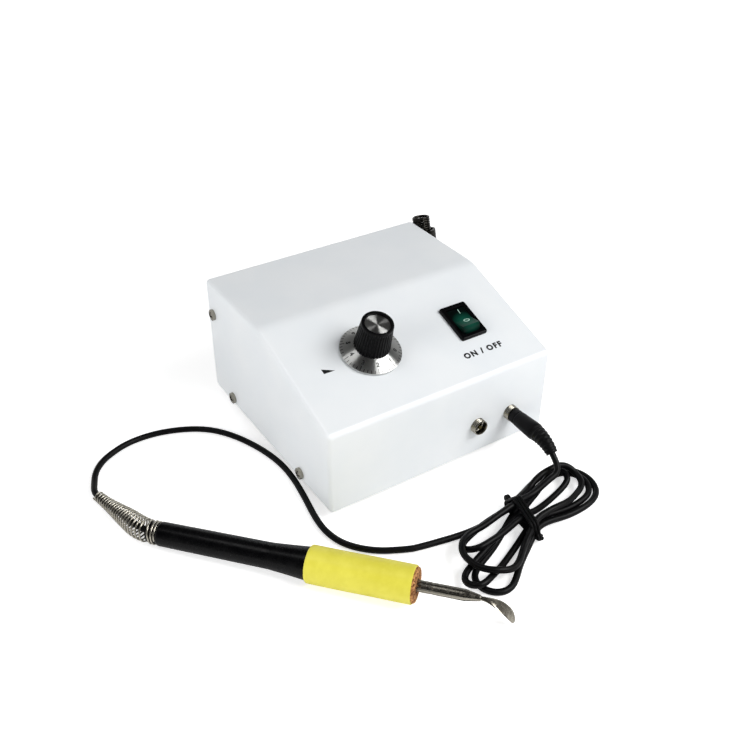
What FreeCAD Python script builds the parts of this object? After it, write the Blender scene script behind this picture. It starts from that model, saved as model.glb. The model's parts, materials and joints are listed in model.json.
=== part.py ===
"""Electric wax carving pen: a desk-top control unit with a sloping panel, a heated pen and its cord.

The frame has +Z up and -Y towards the user. Its origin is the middle of the base plate's underside,
so the table top is one foot height below it. All sizes are millimetres.
"""
import FreeCAD, Part
import math
import os
from FreeCAD import Vector, Rotation, Placement

# control unit
case_width = 125.0
case_depth = 119.0
front_height = 43.2
back_height = 64.2
top_depth = 56.2
sheet = 1.5
front_edge_r = 3.0
top_bend_r = 22.0
rear_top_r = 2.0
rear_bottom_r = 4.0
side_edge_r = 2.2
sheet_gap = 0.1
rear_recess = 0.8
flange_height = 10.0
rear_flange = 14.0
flange_end_gap = 8.0
vent_x = -32.0
vent_count = 6
vent_pitch = 6.0
vent_width = 2.4
vent_length = 20.0

# feet and small fasteners
foot_height = 5.0
foot_top_r = 6.5
foot_bottom_r = 5.6
foot_inset_x = 16.0
foot_inset_y = 16.0
foot_recess_r = 3.4
foot_recess = 2.4
foot_sides = 24
m3_r = 1.5
m3_head_r = 2.9
m3_head = 2.0
m3_nut_flat = 5.5
m3_nut = 2.4
hole_clearance = 0.2
thread_clearance = 0.05
cover_screw_length = 6.0
m3_head_taper = 0.72
screw_sides = 12
shank_sides = 8
low_screw_z = 5.0
low_screw_ys = (-33.2, 36.8)
high_screw_y = 52.5
high_screw_z = 47.0

# heat dial on the slope
dial_x = -20.0
dial_s = 34.6
bush_r = 3.5
bush_height = 4.4
pot_r = 8.2
pot_depth = 9.0
pot_nut_flat = 10.0
pot_nut = 2.2
shaft_r = 3.0
shaft_top = 15.0
shaft_cut = 1.4
shaft_seat = 2.2
shaft_fit = 0.05
pot_lug = (2.0, 6.0, 0.6)
pot_lug_pitch = 5.0
pot_base = 2.0
pot_base_out = 2.0
pot_base_drop = 1.5
skirt_r = 14.7
skirt_low = 0.7
skirt_rim = 0.6
skirt_high = 4.5
skirt_top_r = 8.7
skirt_wall = 0.8
knob_base_r = 8.7
knob_top_r = 7.5
knob_top = 19.4
knob_flutes = 24
flute_depth = 0.35
knob_cap_gap = 0.05
cap_r = 6.4
cap_height = 0.9
cap_edge = 0.3
cap_recess = 0.7
grub_height = 8.5
grub_r = 1.5
grub_length = 4.6

# rocker switch on the slope
switch_inset = 30.5
switch_s = 32.7
bezel_x = 15.0
bezel_s = 21.0
bezel_height = 1.8
bezel_corner = 1.0
bezel_edge = 0.5
switch_body_x = 12.8
switch_body_s = 18.8
switch_body_depth = 13.0
cutout_gap = 0.1
rocker_x = 10.2
rocker_gap = 0.2
rocker_r = 8.0
rocker_pivot_h = -1.6
rocker_half_angle = 11.0
rocker_crown = 3.0
rocker_wall = 1.2
rocker_skirt = 2.4
pivot_r = 1.2
pivot_length = 0.8
rocker_pit = 10.4
lamp_r = 1.9
lamp_length = 8.0
blade = (0.8, 4.8, 8.0)
blade_pitch_x = 7.0
blade_pitch_s = 7.0

# output sockets on the front
jack_inset = 22.5
jack_pitch = 20.0
jack_z = 15.8
jack_r = 3.9
jack_bore_r = 2.8
jack_out = 3.1
jack_in = 11.0
jack_floor = 2.0
jack_mouth = 0.5
jack_nut_flat = 10.6
jack_nut = 2.2
jack_pin_r = 1.0
jack_pin_recess = 0.7
jack_lug = (2.4, 0.6, 5.0)

# plug on the cord
plug_fit = 0.06
plug_seat_gap = 0.3
plug_sleeve_r = 2.0
plug_reach = 8.2
plug_root = 5.0
plug_core_recess = 0.4
plug_pin_gap = 0.06
plug_nose_r = 3.6
plug_back_r = 4.3
plug_length = 16.0
plug_edge = 1.0
relief_root_r = 3.7
relief_tip_r = 2.5
relief_ribs = 5
relief_groove = 0.5
relief_sides = 16
relief_arc_r = 19.0
relief_droop = 40.0

# cord, hank and tie
cord_r = 1.5
cord_sides = 6
cord_high = 1.66
floor_gap = 0.02
waist_x = 11.0
waist_y = -107.0
hank_turn = 13.0
hank_bend = 8.0
hank_bend_length = 14.0
hank_step = 3.75
hank_layer = 3.7
hank_stations_in = 16
hank_stations_out = 9
hank_sides = 5
waist_step = 3.9
right_reach = 31.0
right_lobe_r = 14.6
left_reach = 30.0
left_lobe_r = 14.6
waist_half = 12.4
enter_u = -30.0
enter_v = 18.0
enter_heading = -11.0
leave_u = 19.2
leave_v = 4.4
leave_lift = 1.1
leave_rise = 0.1
plug_run_last = 3.8
pen_run_last = 14.6
tie_width = 4.0
tie_thick = 0.8
tie_gap = 0.3
tie_tail = 6.0
tie_tail_width = 2.0
tie_corner = 3.0

# pen
pen_rear_x = -131.4
pen_rear_y = -30.6
pen_yaw = -49.8
handle_rear_r = 5.4
handle_r = 5.7
handle_flare_r = 7.1
handle_straight = 52.0
handle_length = 70.2
handle_bore_r = 3.0
neck_r = 4.7
neck_length = 7.0
neck_bore_gap = 0.1
spigot_r = 4.6
spigot_length = 20.0
grip_r = 8.2
grip_length = 44.6
sleeve_wall = 0.65
sleeve_overlap = 0.8
cork_out = 1.2
cork_round = 0.9
rod_gap = 0.5
rod_r = 2.45
rod_bore_r = 1.6
rod_rear = 84.0
collar_length = 5.0
rod_front = 135.5
rod_cone = 6.5
rod_tip_r = 1.25
heater_fit = 0.05
heater_length = 40.0
wire_r = 0.55
wire_spread = 0.8
tip_shank_r = 0.85
tip_fit = 0.05
tip_seat = 10.0
tip_arc_r = 15.2
tip_turn = 66.0
tip_sides = 16
# share of the way along, width, thickness and depth of the hollow
tip_stations = ((0.0, 1.8, 1.8, 0.0), (0.16, 2.2, 1.5, 0.0), (0.3, 3.2, 1.3, 0.05), (0.45, 4.4, 1.2, 0.35),
                (0.6, 5.3, 1.1, 0.55), (0.76, 5.4, 1.0, 0.5), (0.88, 4.6, 0.9, 0.25), (0.96, 3.1, 0.7, 0.0),
                (1.0, 1.3, 0.5, 0.0))

# cord guard behind the handle
guard_wire_r = 0.4
guard_wide_r = 5.2
guard_thin_r = 2.2
guard_sides = 4
guard_neck_turns = 2
guard_neck_start = 1.2
guard_turns = 15
guard_bend = 34.0
guard_bend_length = 14.0
guard_straight = 28.0

# pen holder on the right wall
coil_wire_r = 0.6
coil_r = 4.3
coil_pitch = 2.0
coil_turns = 6
coil_sides = 4
holder_lean = 15.0
holder_mouth_y = 57.5
holder_mouth_z = 65.5
clip_wall = 1.2
clip_fit = 0.1
clip_width = 7.0
clip_tab = 9.0

# mains transformer
core_x = 48.0
core_y = 20.0
core_z = 40.0
limb = 16.0
yoke = 8.0
bobbin_wall = 1.0
bobbin_y = 34.0
winding_inset = 0.4
winding_corner = 2.0
strap = 1.0
strap_y = 14.0
strap_foot = 8.0
strap_gap = 0.4
fuse_lug_gap = 1.7

# control board
board_x = 44.0
board_y = 40.0
board_thick = 1.6
board_mid_y = 8.0
board_inset = 4.0
board_gaps = (11.0, 5.4)
standoff_flat = 5.0
standoff_height = 6.0
inner_screw_length = 5.0
capacitor_r = 5.0
capacitor_height = 13.0
capacitor_edge = 0.5
capacitor_places = ((-8.0, 10.0), (4.0, 10.0))
sink = (18.0, 8.0, 20.0)
sink_fins = 4
sink_fin = 1.2
sink_place = (8.0, 0.0)
regulator = (10.0, 4.4, 15.0)
regulator_leg = 3.0
terminal = (16.0, 8.0, 10.0)
terminal_ways = 4
terminal_hole = 3.0
terminal_step = 2.0
terminal_screw_depth = 4.0
terminal_place = (-4.0, -13.0)

# mains inlet and fuse on the rear plate
inlet_gap = 2.9
inlet_z = 34.0
inlet_cut_x = 27.2
inlet_cut_z = 20.0
inlet_depth = 20.0
inlet_ears = 48.0
inlet_flange_z = 23.0
inlet_flange = 2.6
inlet_ear_pitch = 40.0
inlet_wall = 1.6
inlet_corner = 5.0
inlet_ear_corner = 3.0
inlet_pit = 16.0
inlet_pin = (2.0, 4.0, 13.0)
inlet_pin_pitch = 7.0
inlet_pin_rise = 4.0
inlet_tail = 7.0
inlet_screw_length = 8.0
fuse_to_inlet = 36.0
fuse_z = 34.0
fuse_body_r = 6.0
fuse_body_depth = 25.0
fuse_flange_r = 7.5
fuse_flange = 1.5
fuse_bore_r = 4.6
fuse_cap_r = 6.6
fuse_cap_height = 5.0
fuse_stem_r = 4.52
fuse_stem = 8.0
fuse_r = 2.6
fuse_length = 20.0
fuse_grip = 4.0
fuse_end = 5.0
fuse_nut_flat = 16.0
fuse_nut = 2.5
fuse_lug = (4.0, 0.6, 6.0)

# worked out from the sizes above
inside_x = case_width / 2 - sheet - sheet_gap
front_y = -case_depth / 2
back_y = case_depth / 2
bend_y = back_y - top_depth
slope_rise = back_height - front_height
slope_angle = math.degrees(math.atan2(slope_rise, bend_y - front_y))
rear_face_y = back_y - rear_recess
floor_z = -foot_height
switch_x = case_width / 2 - switch_inset
jack_xs = (case_width / 2 - jack_inset - jack_pitch, case_width / 2 - jack_inset)
inlet_x = inside_x - inlet_gap - inlet_ears / 2
fuse_x = inlet_x - fuse_to_inlet
transformer_x = core_x / 2 + strap + strap_foot + strap_gap + sheet - inside_x
transformer_y = rear_face_y - fuse_body_depth - fuse_lug[2] - fuse_lug_gap - core_y / 2
board_room = inside_x - sheet - (transformer_x + core_x / 2 + strap) - board_x
board_right_gap = board_room * board_gaps[1] / (board_gaps[0] + board_gaps[1])
board_at = (inside_x - sheet - board_right_gap - board_x / 2, board_mid_y)
half_turn = 180.0

X = Vector(1, 0, 0)
Y = Vector(0, 1, 0)
Z = Vector(0, 0, 1)
ORIGIN = Vector(0, 0, 0)


def save(shape, node):
    """Write one sub-part, and name it if it is not a sound solid."""
    if not shape.isValid() or shape.Volume <= 0:
        print("unsound", node, shape.isValid(), shape.Volume)
    shape.exportStep("parts/%s.step" % node)


def group(solids):
    """Identical pieces that share a node, each still a solid of its own."""
    return Part.makeCompound(solids)


def fused(shapes):
    """One solid from pieces that touch or overlap."""
    return shapes[0].multiFuse(shapes[1:]).removeSplitter()


def block(size_x, size_y, size_z, x=0.0, y=0.0, z=0.0):
    """A box centred on x and y, standing on z."""
    return Part.makeBox(size_x, size_y, size_z, Vector(x - size_x / 2, y - size_y / 2, z))


def rod(radius, low, high, x=0.0, y=0.0):
    """An upright cylinder between two heights."""
    return Part.makeCylinder(radius, high - low, Vector(x, y, low))


def turned(profile):
    """A solid of revolution about Z from (radius, height) corners."""
    corners = [Vector(r, 0, h) for r, h in profile]
    return Part.Face(Part.makePolygon(corners + corners[:1])).revolve(ORIGIN, Z, 360)


def hexagon(flat, low, high):
    """An upright hexagonal prism of a given width across flats."""
    reach = flat / 2 / math.cos(math.pi / 6)
    corners = [Vector(reach * math.cos(k * math.pi / 3), reach * math.sin(k * math.pi / 3), low)
               for k in range(7)]
    return Part.Face(Part.makePolygon(corners)).extrude(Z * (high - low))


def nut(flat, low, high, bore):
    return hexagon(flat, low, high).cut(rod(bore, low - 1, high + 1))


def rounded_block(size_x, size_y, low, high, corner):
    """An upright block whose four upright edges are rounded."""
    body = block(size_x, size_y, high - low, z=low)
    upright = [e for e in body.Edges if abs(e.tangentAt(e.FirstParameter).z) > 0.9]
    return body.makeFillet(corner, upright)


def ring_of_corners(radius, height, sides):
    """A flat closed polygon round Z."""
    return Part.makePolygon([Vector(radius * math.cos(2 * math.pi * k / sides),
                                    radius * math.sin(2 * math.pi * k / sides), height)
                             for k in range(sides + 1)])


def pan_screw(length):
    """A pan-head screw with few faces: its head stands on z = 0 and its shank points down."""
    head = Part.makeLoft([ring_of_corners(m3_head_r, 0, screw_sides),
                          ring_of_corners(m3_head_r * m3_head_taper, m3_head, screw_sides)], True, True)
    shank = Part.Face(ring_of_corners(m3_r, -length, shank_sides)).extrude(Z * length)
    return fused([head, shank])


def placed(shape, turn, at):
    """A copy of a shape, turned and then moved."""
    copy = shape.copy()
    copy.Placement = Placement(at, turn).multiply(copy.Placement)
    return copy


def on_slope(shape, x, s):
    """Local Z becomes the slope's outward normal, and the origin lands s up the slope."""
    up = math.radians(slope_angle)
    at = Vector(x, front_y + s * math.cos(up), front_height + s * math.sin(up))
    return placed(shape, Rotation(X, slope_angle), at)


def on_front(shape, x, z):
    """Local Z points out of the front wall."""
    return placed(shape, Rotation(X, 90), Vector(x, front_y, z))


def on_rear(shape, x, z):
    """Local Z points out of the rear plate, and local Y points down."""
    return placed(shape, Rotation(X, -90), Vector(x, rear_face_y, z))


def on_side(shape, side, y, z):
    """Local Z points out of the left (-1) or right (1) wall."""
    return placed(shape, Rotation(Y, 90 * side), Vector(side * case_width / 2, y, z))


def arc_edge(start, corner, end):
    """The arc that leaves start towards corner and reaches end from corner; the legs are equal."""
    middle = (start + end) * 0.5
    half = (end - start).Length / 2
    leg = (corner - start).Length
    rise = corner - middle
    if rise.Length < 1e-6 * leg:
        return Part.LineSegment(start, end).toShape()
    sag = half * math.tan(0.5 * math.acos(min(1.0, half / leg)))
    return Part.Arc(start, middle + rise.normalize() * sag, end).toShape()


def biarc(p, p_way, q, q_way):
    """Two arcs, tangent to each other, from p along p_way to q along q_way."""
    chord = q - p
    slack = 2.0 * (1.0 - p_way.dot(q_way))
    if slack < 1e-9:
        reach = chord.dot(chord) / (4.0 * chord.dot(q_way))
    else:
        along = chord.dot(p_way + q_way)
        reach = (math.sqrt(along * along + slack * chord.dot(chord)) - along) / slack
    corner_p = p + p_way * reach
    corner_q = q - q_way * reach
    joint = (corner_p + corner_q) * 0.5
    return [arc_edge(p, corner_p, joint), arc_edge(joint, corner_q, q)]


def section(at, way, radius, sides):
    """A flat-sided section of the same area as a circle, square to the way ahead."""
    across = way.cross(Z if abs(way.z) < 0.9 else X).normalize()
    over = across.cross(way)
    reach = radius * math.sqrt(2 * math.pi / (sides * math.sin(2 * math.pi / sides)))
    corners = []
    for k in range(sides + 1):
        angle = 2 * math.pi * (k + 0.5) / sides
        corners.append(at + across * (reach * math.cos(angle)) + over * (reach * math.sin(angle)))
    return Part.makePolygon(corners)


def swept(edges, start, way, radius, sides):
    """A flat-sided tube along joined edges."""
    return Part.Wire(edges).makePipeShell([section(start, way, radius, sides)], True, False)


def least_gap(points, width, skip):
    """The least distance between stretches of one tube that are at least skip points apart."""
    least = 1e9
    for i, p in enumerate(points):
        for q in points[i + skip:]:
            least = min(least, (p - q).Length)
    return least - width


def wound(points, ways, radius, sides, name):
    """One unbroken tube through points with known directions, straight for a diameter at both ends."""
    first = points[0] - ways[0] * (2 * radius)
    last = points[-1] + ways[-1] * (2 * radius)
    edges = [Part.LineSegment(first, points[0]).toShape()]
    for k in range(len(points) - 1):
        edges += biarc(points[k], ways[k], points[k + 1], ways[k + 1])
    edges.append(Part.LineSegment(points[-1], last).toShape())
    wire = Part.Wire(edges)
    spaced = wire.discretize(Distance=radius)
    gap = least_gap(spaced, 2 * radius, int(math.pi * 2) + 3)
    print(name, "length %.0f" % wire.Length, "least gap %.2f" % gap)
    return swept(edges, first, ways[0], radius, sides), first, last


def coil_through(wire_point, steps, radius, sides, name):
    """A wound wire from a formula of half-turn steps."""
    points, ways = [], []
    for k in range(steps + 1):
        points.append(wire_point(k))
        ways.append((wire_point(min(k + 0.01, steps)) - wire_point(max(k - 0.01, 0))).normalize())
    return wound(points, ways, radius, sides, name)[0]


def run_tube(route, radius, name, sides=cord_sides):
    """A cord's tube: straight runs joined by the largest tangent arcs that the runs allow."""
    edges, radii, here = [], [], route[0]
    for k in range(1, len(route) - 1):
        before = route[k - 1] - route[k]
        after = route[k + 1] - route[k]
        reach = 0.45 * min(before.Length, after.Length)
        half = 0.5 * (math.pi - before.getAngle(after))
        radii.append(reach / math.tan(half))
        enter = route[k] + before.normalize() * reach
        leave = route[k] + after.normalize() * reach
        edges.append(Part.LineSegment(here, enter).toShape())
        edges.append(arc_edge(enter, route[k], leave))
        here = leave
    edges.append(Part.LineSegment(here, route[-1]).toShape())
    wire = Part.Wire(edges)
    tube = swept(edges, route[0], (route[1] - route[0]).normalize(), radius, sides)
    share = tube.Volume / (math.pi * radius ** 2 * wire.Length)
    print(name, "length %.0f" % wire.Length, "volume share %.3f" % share,
          "radii", " ".join("%.0f" % r for r in radii))
    return tube


def outline(points, radii):
    """A closed outline in the YZ plane: straight sides, with a corner rounded where it has a radius."""
    edges, ends = [], []
    count = len(points)
    for k, (y, z) in enumerate(points):
        at = Vector(0, y, z)
        before = Vector(0, *points[k - 1]) - at
        after = Vector(0, *points[(k + 1) % count]) - at
        if radii[k] == 0:
            ends.append((at, at, at))
            continue
        reach = radii[k] * math.tan(0.5 * (math.pi - before.getAngle(after)))
        ends.append((at + before.normalize() * reach, at, at + after.normalize() * reach))
    for k, (enter, at, leave) in enumerate(ends):
        if (leave - enter).Length > 1e-6:
            edges.append(arc_edge(enter, at, leave))
        edges.append(Part.LineSegment(leave, ends[(k + 1) % count][0]).toShape())
    return Part.Wire(edges)


def case_profile(inset, radii, past):
    """The case seen from the side, moved in by a wall; past opens it at the rear and below."""
    up = math.radians(slope_angle)
    lift = inset / math.cos(up)
    corner_z = front_height + inset * math.tan(up) - lift
    top_z = back_height - inset
    run = (top_z - corner_z) / math.tan(up)
    points = [(front_y + inset, -past), (front_y + inset, corner_z),
              (front_y + inset + run, top_z), (back_y + past, top_z), (back_y + past, -past)]
    return outline(points, radii)


def cover_shell():
    """Front, slope, top and side walls in one painted shell, open below and behind."""
    radii = [0, front_edge_r, top_bend_r, rear_top_r, rear_bottom_r]
    outer = Part.Face(case_profile(0, radii, 0)).extrude(X * case_width)
    outer.translate(X * (-case_width / 2))
    rims = [e for e in outer.Edges
            if abs(abs(e.CenterOfMass.x) - case_width / 2) < 1e-6 and e.CenterOfMass.z > 1e-6
            and e.CenterOfMass.y < back_y - 1e-6]
    outer = outer.makeFillet(side_edge_r, rims)
    inner_radii = [0, front_edge_r - sheet, top_bend_r - sheet, 0, 0]
    inner = Part.Face(case_profile(sheet, inner_radii, 5)).extrude(X * (case_width - 2 * sheet))
    inner.translate(X * (-case_width / 2 + sheet))
    shell = outer.cut(inner)
    deep = 4 * sheet
    cuts = [on_slope(rod(bush_r + hole_clearance, -deep, deep), dial_x, dial_s),
            on_slope(block(switch_body_x + 2 * cutout_gap, switch_body_s + 2 * cutout_gap, 2 * deep,
                           z=-deep), switch_x, switch_s)]
    for x in jack_xs:
        cuts.append(on_front(rod(jack_r + thread_clearance, -deep, deep), x, jack_z))
    for side in (-1, 1):
        for y, z in cover_screw_places():
            cuts.append(on_side(rod(m3_r + hole_clearance, -deep, deep), side, y, z))
    return shell.cut(Part.makeCompound(cuts))


def cover_screw_places():
    """Where each side wall is screwed: twice to the base and once to the rear plate."""
    return [(y, low_screw_z) for y in low_screw_ys] + [(high_screw_y, high_screw_z)]


def foot_places():
    reach_x = case_width / 2 - foot_inset_x
    reach_y = case_depth / 2 - foot_inset_y
    return [(sx * reach_x, sy * reach_y) for sx in (-1, 1) for sy in (-1, 1)]


def transformer_screw_places():
    reach = core_x / 2 + strap + strap_foot / 2
    return [(transformer_x + s * reach, transformer_y) for s in (-1, 1)]


def board_screw_places():
    reach_x = board_x / 2 - board_inset
    reach_y = board_y / 2 - board_inset
    return [(board_at[0] + sx * reach_x, board_at[1] + sy * reach_y)
            for sx in (-1, 1) for sy in (-1, 1)]


def base_chassis():
    """The folded tray that carries everything: base, side and front flanges, rear plate and its flanges."""
    plate_front = front_y + sheet + sheet_gap
    plate_depth = rear_face_y - plate_front
    middle = (rear_face_y + plate_front) / 2
    plate_top = back_height - sheet - sheet_gap
    pieces = [block(2 * inside_x, plate_depth, sheet, 0, middle, 0),
              block(2 * inside_x, sheet, plate_top, 0, rear_face_y - sheet / 2, 0),
              block(2 * inside_x - 2 * flange_end_gap, sheet, flange_height, 0, plate_front + sheet / 2, 0)]
    for side in (-1, 1):
        at = side * (inside_x - sheet / 2)
        pieces.append(block(sheet, plate_depth - flange_end_gap, flange_height, at,
                            middle + flange_end_gap / 2, 0))
        pieces.append(block(sheet, rear_flange, plate_top - flange_end_gap, at,
                            rear_face_y - rear_flange / 2, 0))
    tray = fused(pieces)
    cuts = []
    for x, y in foot_places() + transformer_screw_places():
        cuts.append(rod(m3_r + thread_clearance, -1, sheet + 1, x, y))
    for side in (-1, 1):
        for y, z in cover_screw_places():
            cuts.append(on_side(rod(m3_r + thread_clearance, -4 * sheet, 0), side, y, z))
    deep = 4 * sheet
    cuts.append(on_rear(block(inlet_cut_x + 2 * cutout_gap, inlet_cut_z + 2 * cutout_gap, 2 * deep,
                              z=-deep), inlet_x, inlet_z))
    for side in (-1, 1):
        cuts.append(on_rear(rod(m3_r + thread_clearance, -deep, deep),
                            inlet_x + side * inlet_ear_pitch / 2, inlet_z))
    cuts.append(on_rear(rod(fuse_body_r + thread_clearance, -deep, deep), fuse_x, fuse_z))
    slot = block(vent_width, vent_length, 2 * deep, z=-deep)
    for k in range(vent_count):
        along = (k - (vent_count - 1) / 2) * vent_pitch
        cuts.append(on_rear(slot, vent_x + along, back_height / 2))
        cuts.append(slot.translated(Vector(board_at[0] + along, board_at[1], 0)))
    return fused([tray.cut(Part.makeCompound(cuts))] + board_standoffs())


def side_screws():
    """The cover's screws, apart from the one that holds the pen holder as well."""
    screw = pan_screw(cover_screw_length)
    places = [(side, y, z) for side in (-1, 1) for y, z in cover_screw_places()]
    return group([on_side(screw, *place) for place in places if place != (1, high_screw_y, high_screw_z)])


def rubber_feet():
    """Tapered feet, each with a recess for its screw's head."""
    body = Part.makeLoft([ring_of_corners(foot_bottom_r, -foot_height, foot_sides),
                          ring_of_corners(foot_top_r, 0, foot_sides)], True, True)
    recess = Part.Face(ring_of_corners(foot_recess_r, -foot_height, screw_sides)).extrude(Z * foot_recess)
    hole = Part.Face(ring_of_corners(m3_r + hole_clearance, -foot_height, screw_sides))
    foot = body.cut(recess).cut(hole.extrude(Z * foot_height))
    return group([foot.translated(Vector(x, y, 0)) for x, y in foot_places()])


def foot_screws():
    length = foot_height - foot_recess + sheet + m3_nut + 1
    screw = placed(pan_screw(length), Rotation(X, 180), Vector(0, 0, foot_recess - foot_height))
    return group([screw.translated(Vector(x, y, 0)) for x, y in foot_places()])


def small_nuts():
    """The nuts on the feet's screws."""
    piece = nut(m3_nut_flat, 0, m3_nut, m3_r + thread_clearance)
    return group([piece.translated(Vector(x, y, sheet)) for x, y in foot_places()])


def potentiometer_body():
    """The can against the panel's inner face, with its bush through the panel."""
    can = turned([(0, -sheet - pot_depth), (pot_r, -sheet - pot_depth), (pot_r, -sheet),
                  (bush_r, -sheet), (bush_r, bush_height), (0, bush_height)])
    reach = pot_r + pot_base_out
    base = block(2 * pot_r, reach, pot_base, 0, -reach / 2, -sheet - pot_base_drop - pot_base)
    floor = -sheet - pot_depth + shaft_seat - shaft_fit
    return on_slope(fused([can, base]).cut(rod(shaft_r + shaft_fit, floor, bush_height + 1)),
                    dial_x, dial_s)


def potentiometer_lugs():
    width, length, thick = pot_lug
    lugs = [block(width, length, thick, k * pot_lug_pitch, -pot_r - pot_base_out - length / 2,
                  -sheet - pot_base_drop - (pot_base + thick) / 2)
            for k in (-1, 0, 1)]
    return on_slope(group(lugs), dial_x, dial_s)


def potentiometer_nut():
    return on_slope(nut(pot_nut_flat, 0, pot_nut, bush_r + thread_clearance), dial_x, dial_s)


def shaft_form(low, high):
    """A round shaft whose upper part has a flat for the knob's screw."""
    flat = block(2 * shaft_r, 2 * shaft_r, high, 2 * shaft_r - shaft_cut, 0, skirt_high)
    return rod(shaft_r, low, high).cut(flat)


def potentiometer_shaft():
    return on_slope(shaft_form(-sheet - pot_depth + shaft_seat, shaft_top), dial_x, dial_s)


def dial_skirt():
    """A spun aluminium cone under the knob that carries the scale."""
    skirt = turned([(skirt_r, skirt_low), (skirt_r, skirt_low + skirt_rim), (skirt_top_r, skirt_high),
                    (shaft_r + 1, skirt_high), (shaft_r + 1, skirt_high - skirt_wall),
                    (skirt_top_r - 0.4, skirt_high - skirt_wall), (skirt_r - skirt_wall, skirt_low)])
    return on_slope(skirt, dial_x, dial_s)


def control_knob():
    """The tapered black knob, fluted round its side and recessed for its cap."""
    foot = skirt_high
    body = Part.makeLoft([fluted_ring(knob_base_r, foot), fluted_ring(knob_top_r, knob_top)], True, True)
    body = body.cut(rod(cap_r + knob_cap_gap, knob_top - cap_recess, knob_top + 1))
    body = body.cut(shaft_form(foot - 1, shaft_top))
    hole = placed(rod(grub_r, 0, knob_base_r + 1), Rotation(Y, 90), Vector(0, 0, grub_height))
    return on_slope(body.cut(hole), dial_x, dial_s)


def fluted_ring(radius, height):
    """A flat outline with a shallow flute between each two ribs."""
    corners = []
    for k in range(4 * knob_flutes + 1):
        reach = radius if k % 4 in (0, 1) else radius - flute_depth
        angle = 2 * math.pi * k / (4 * knob_flutes)
        corners.append(Vector(reach * math.cos(angle), reach * math.sin(angle), height))
    return Part.makePolygon(corners)


def knob_cap():
    """The spun aluminium disc let into the knob's top."""
    low = knob_top - cap_recess
    cap = turned([(0, low), (cap_r, low), (cap_r, low + cap_height - cap_edge),
                  (cap_r - cap_edge, low + cap_height), (0, low + cap_height)])
    return on_slope(cap, dial_x, dial_s)


def knob_grub_screw():
    """The socket screw that bears on the shaft's flat."""
    start = shaft_r - shaft_cut
    screw = rod(grub_r, start, start + grub_length).cut(hexagon(1.5, start + grub_length - 1.5,
                                                                start + grub_length + 1))
    return on_slope(placed(screw, Rotation(Y, 90), Vector(0, 0, grub_height)), dial_x, dial_s)


def switch_housing():
    """The snap-in body and its bezel, open for the rocker."""
    bezel = rounded_block(bezel_x, bezel_s, 0, bezel_height, bezel_corner)
    rim = [e for e in bezel.Edges if e.CenterOfMass.z > bezel_height - 1e-6]
    bezel = bezel.makeChamfer(bezel_edge, rim)
    body = block(switch_body_x, switch_body_s, switch_body_depth, z=-switch_body_depth)
    shell = fused([bezel, body])
    pit = block(rocker_x + 2 * rocker_gap, 2 * rocker_r + 2 * rocker_gap, rocker_pit + bezel_height + 1,
                z=-rocker_pit)
    seats = placed(rod(pivot_r + thread_clearance, -rocker_x / 2 - pivot_length - rocker_gap,
                       rocker_x / 2 + pivot_length + rocker_gap),
                   Rotation(Y, 90), Vector(0, 0, rocker_pivot_h))
    return on_slope(shell.cut(pit).cut(seats), switch_x, switch_s)


def switch_rocker():
    """The two-way rocker, hollow below, its upper half pressed."""
    lean = math.radians(rocker_half_angle)
    crown = rocker_crown
    edge_h = crown + rocker_r * math.tan(lean) * 0.5
    end = math.sqrt(rocker_r ** 2 - edge_h ** 2)
    low = -rocker_skirt
    low_end = math.sqrt(rocker_r ** 2 - low ** 2)
    right = Part.Arc(Vector(0, low_end, low), Vector(0, rocker_r, 0), Vector(0, end, edge_h)).toShape()
    left = Part.Arc(Vector(0, -end, edge_h), Vector(0, -rocker_r, 0), Vector(0, -low_end, low)).toShape()
    top_a = Part.LineSegment(Vector(0, end, edge_h), Vector(0, 0, crown)).toShape()
    top_b = Part.LineSegment(Vector(0, 0, crown), Vector(0, -end, edge_h)).toShape()
    base = Part.LineSegment(Vector(0, -low_end, low), Vector(0, low_end, low)).toShape()
    body = Part.Face(Part.Wire([right, top_a, top_b, left, base])).extrude(X * rocker_x)
    body.translate(X * (-rocker_x / 2))
    hollow = block(rocker_x - 2 * rocker_wall, 2 * rocker_r - 5 * rocker_wall, crown - rocker_wall - low,
                   z=low - 0.01)
    hollow = hollow.cut(block(rocker_wall, 2 * rocker_r, 20, z=low - 1))
    pivots = placed(rod(pivot_r, -rocker_x / 2 - pivot_length, rocker_x / 2 + pivot_length),
                    Rotation(Y, 90), ORIGIN)
    body = fused([body.cut(hollow), pivots])
    rest = placed(body, Rotation(X, -rocker_half_angle), Vector(0, 0, rocker_pivot_h))
    return on_slope(rest, switch_x, switch_s)


def switch_lamp():
    """The neon lamp on the housing's floor, under the rocker."""
    lamp = placed(rod(lamp_r, -lamp_length / 2, lamp_length / 2), Rotation(Y, 90),
                  Vector(0, 0, -rocker_pit + lamp_r))
    return on_slope(lamp, switch_x, switch_s)


def switch_terminals():
    thick, wide, length = blade
    blades = [block(wide, thick, length, sx * blade_pitch_x / 2, sy * blade_pitch_s / 2,
                    -switch_body_depth - length) for sx in (-1, 1) for sy in (-1, 1)]
    return on_slope(group(blades), switch_x, switch_s)


def jack_barrel(x):
    """The threaded barrel in the front wall, with a plastic floor behind its bore."""
    barrel = turned([(jack_bore_r + jack_mouth, jack_out), (jack_r - 0.3, jack_out),
                     (jack_r, jack_out - 0.3), (jack_r, -jack_in), (jack_bore_r, -jack_in),
                     (jack_bore_r, jack_out - jack_mouth)])
    return on_front(barrel, x, jack_z)


def jack_insulator(x):
    """The moulded floor that closes the barrel and holds its pin."""
    disc = turned([(jack_pin_r, -jack_in - jack_floor), (jack_r, -jack_in - jack_floor),
                   (jack_r, -jack_in), (jack_pin_r, -jack_in)])
    return on_front(disc, x, jack_z)


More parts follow.
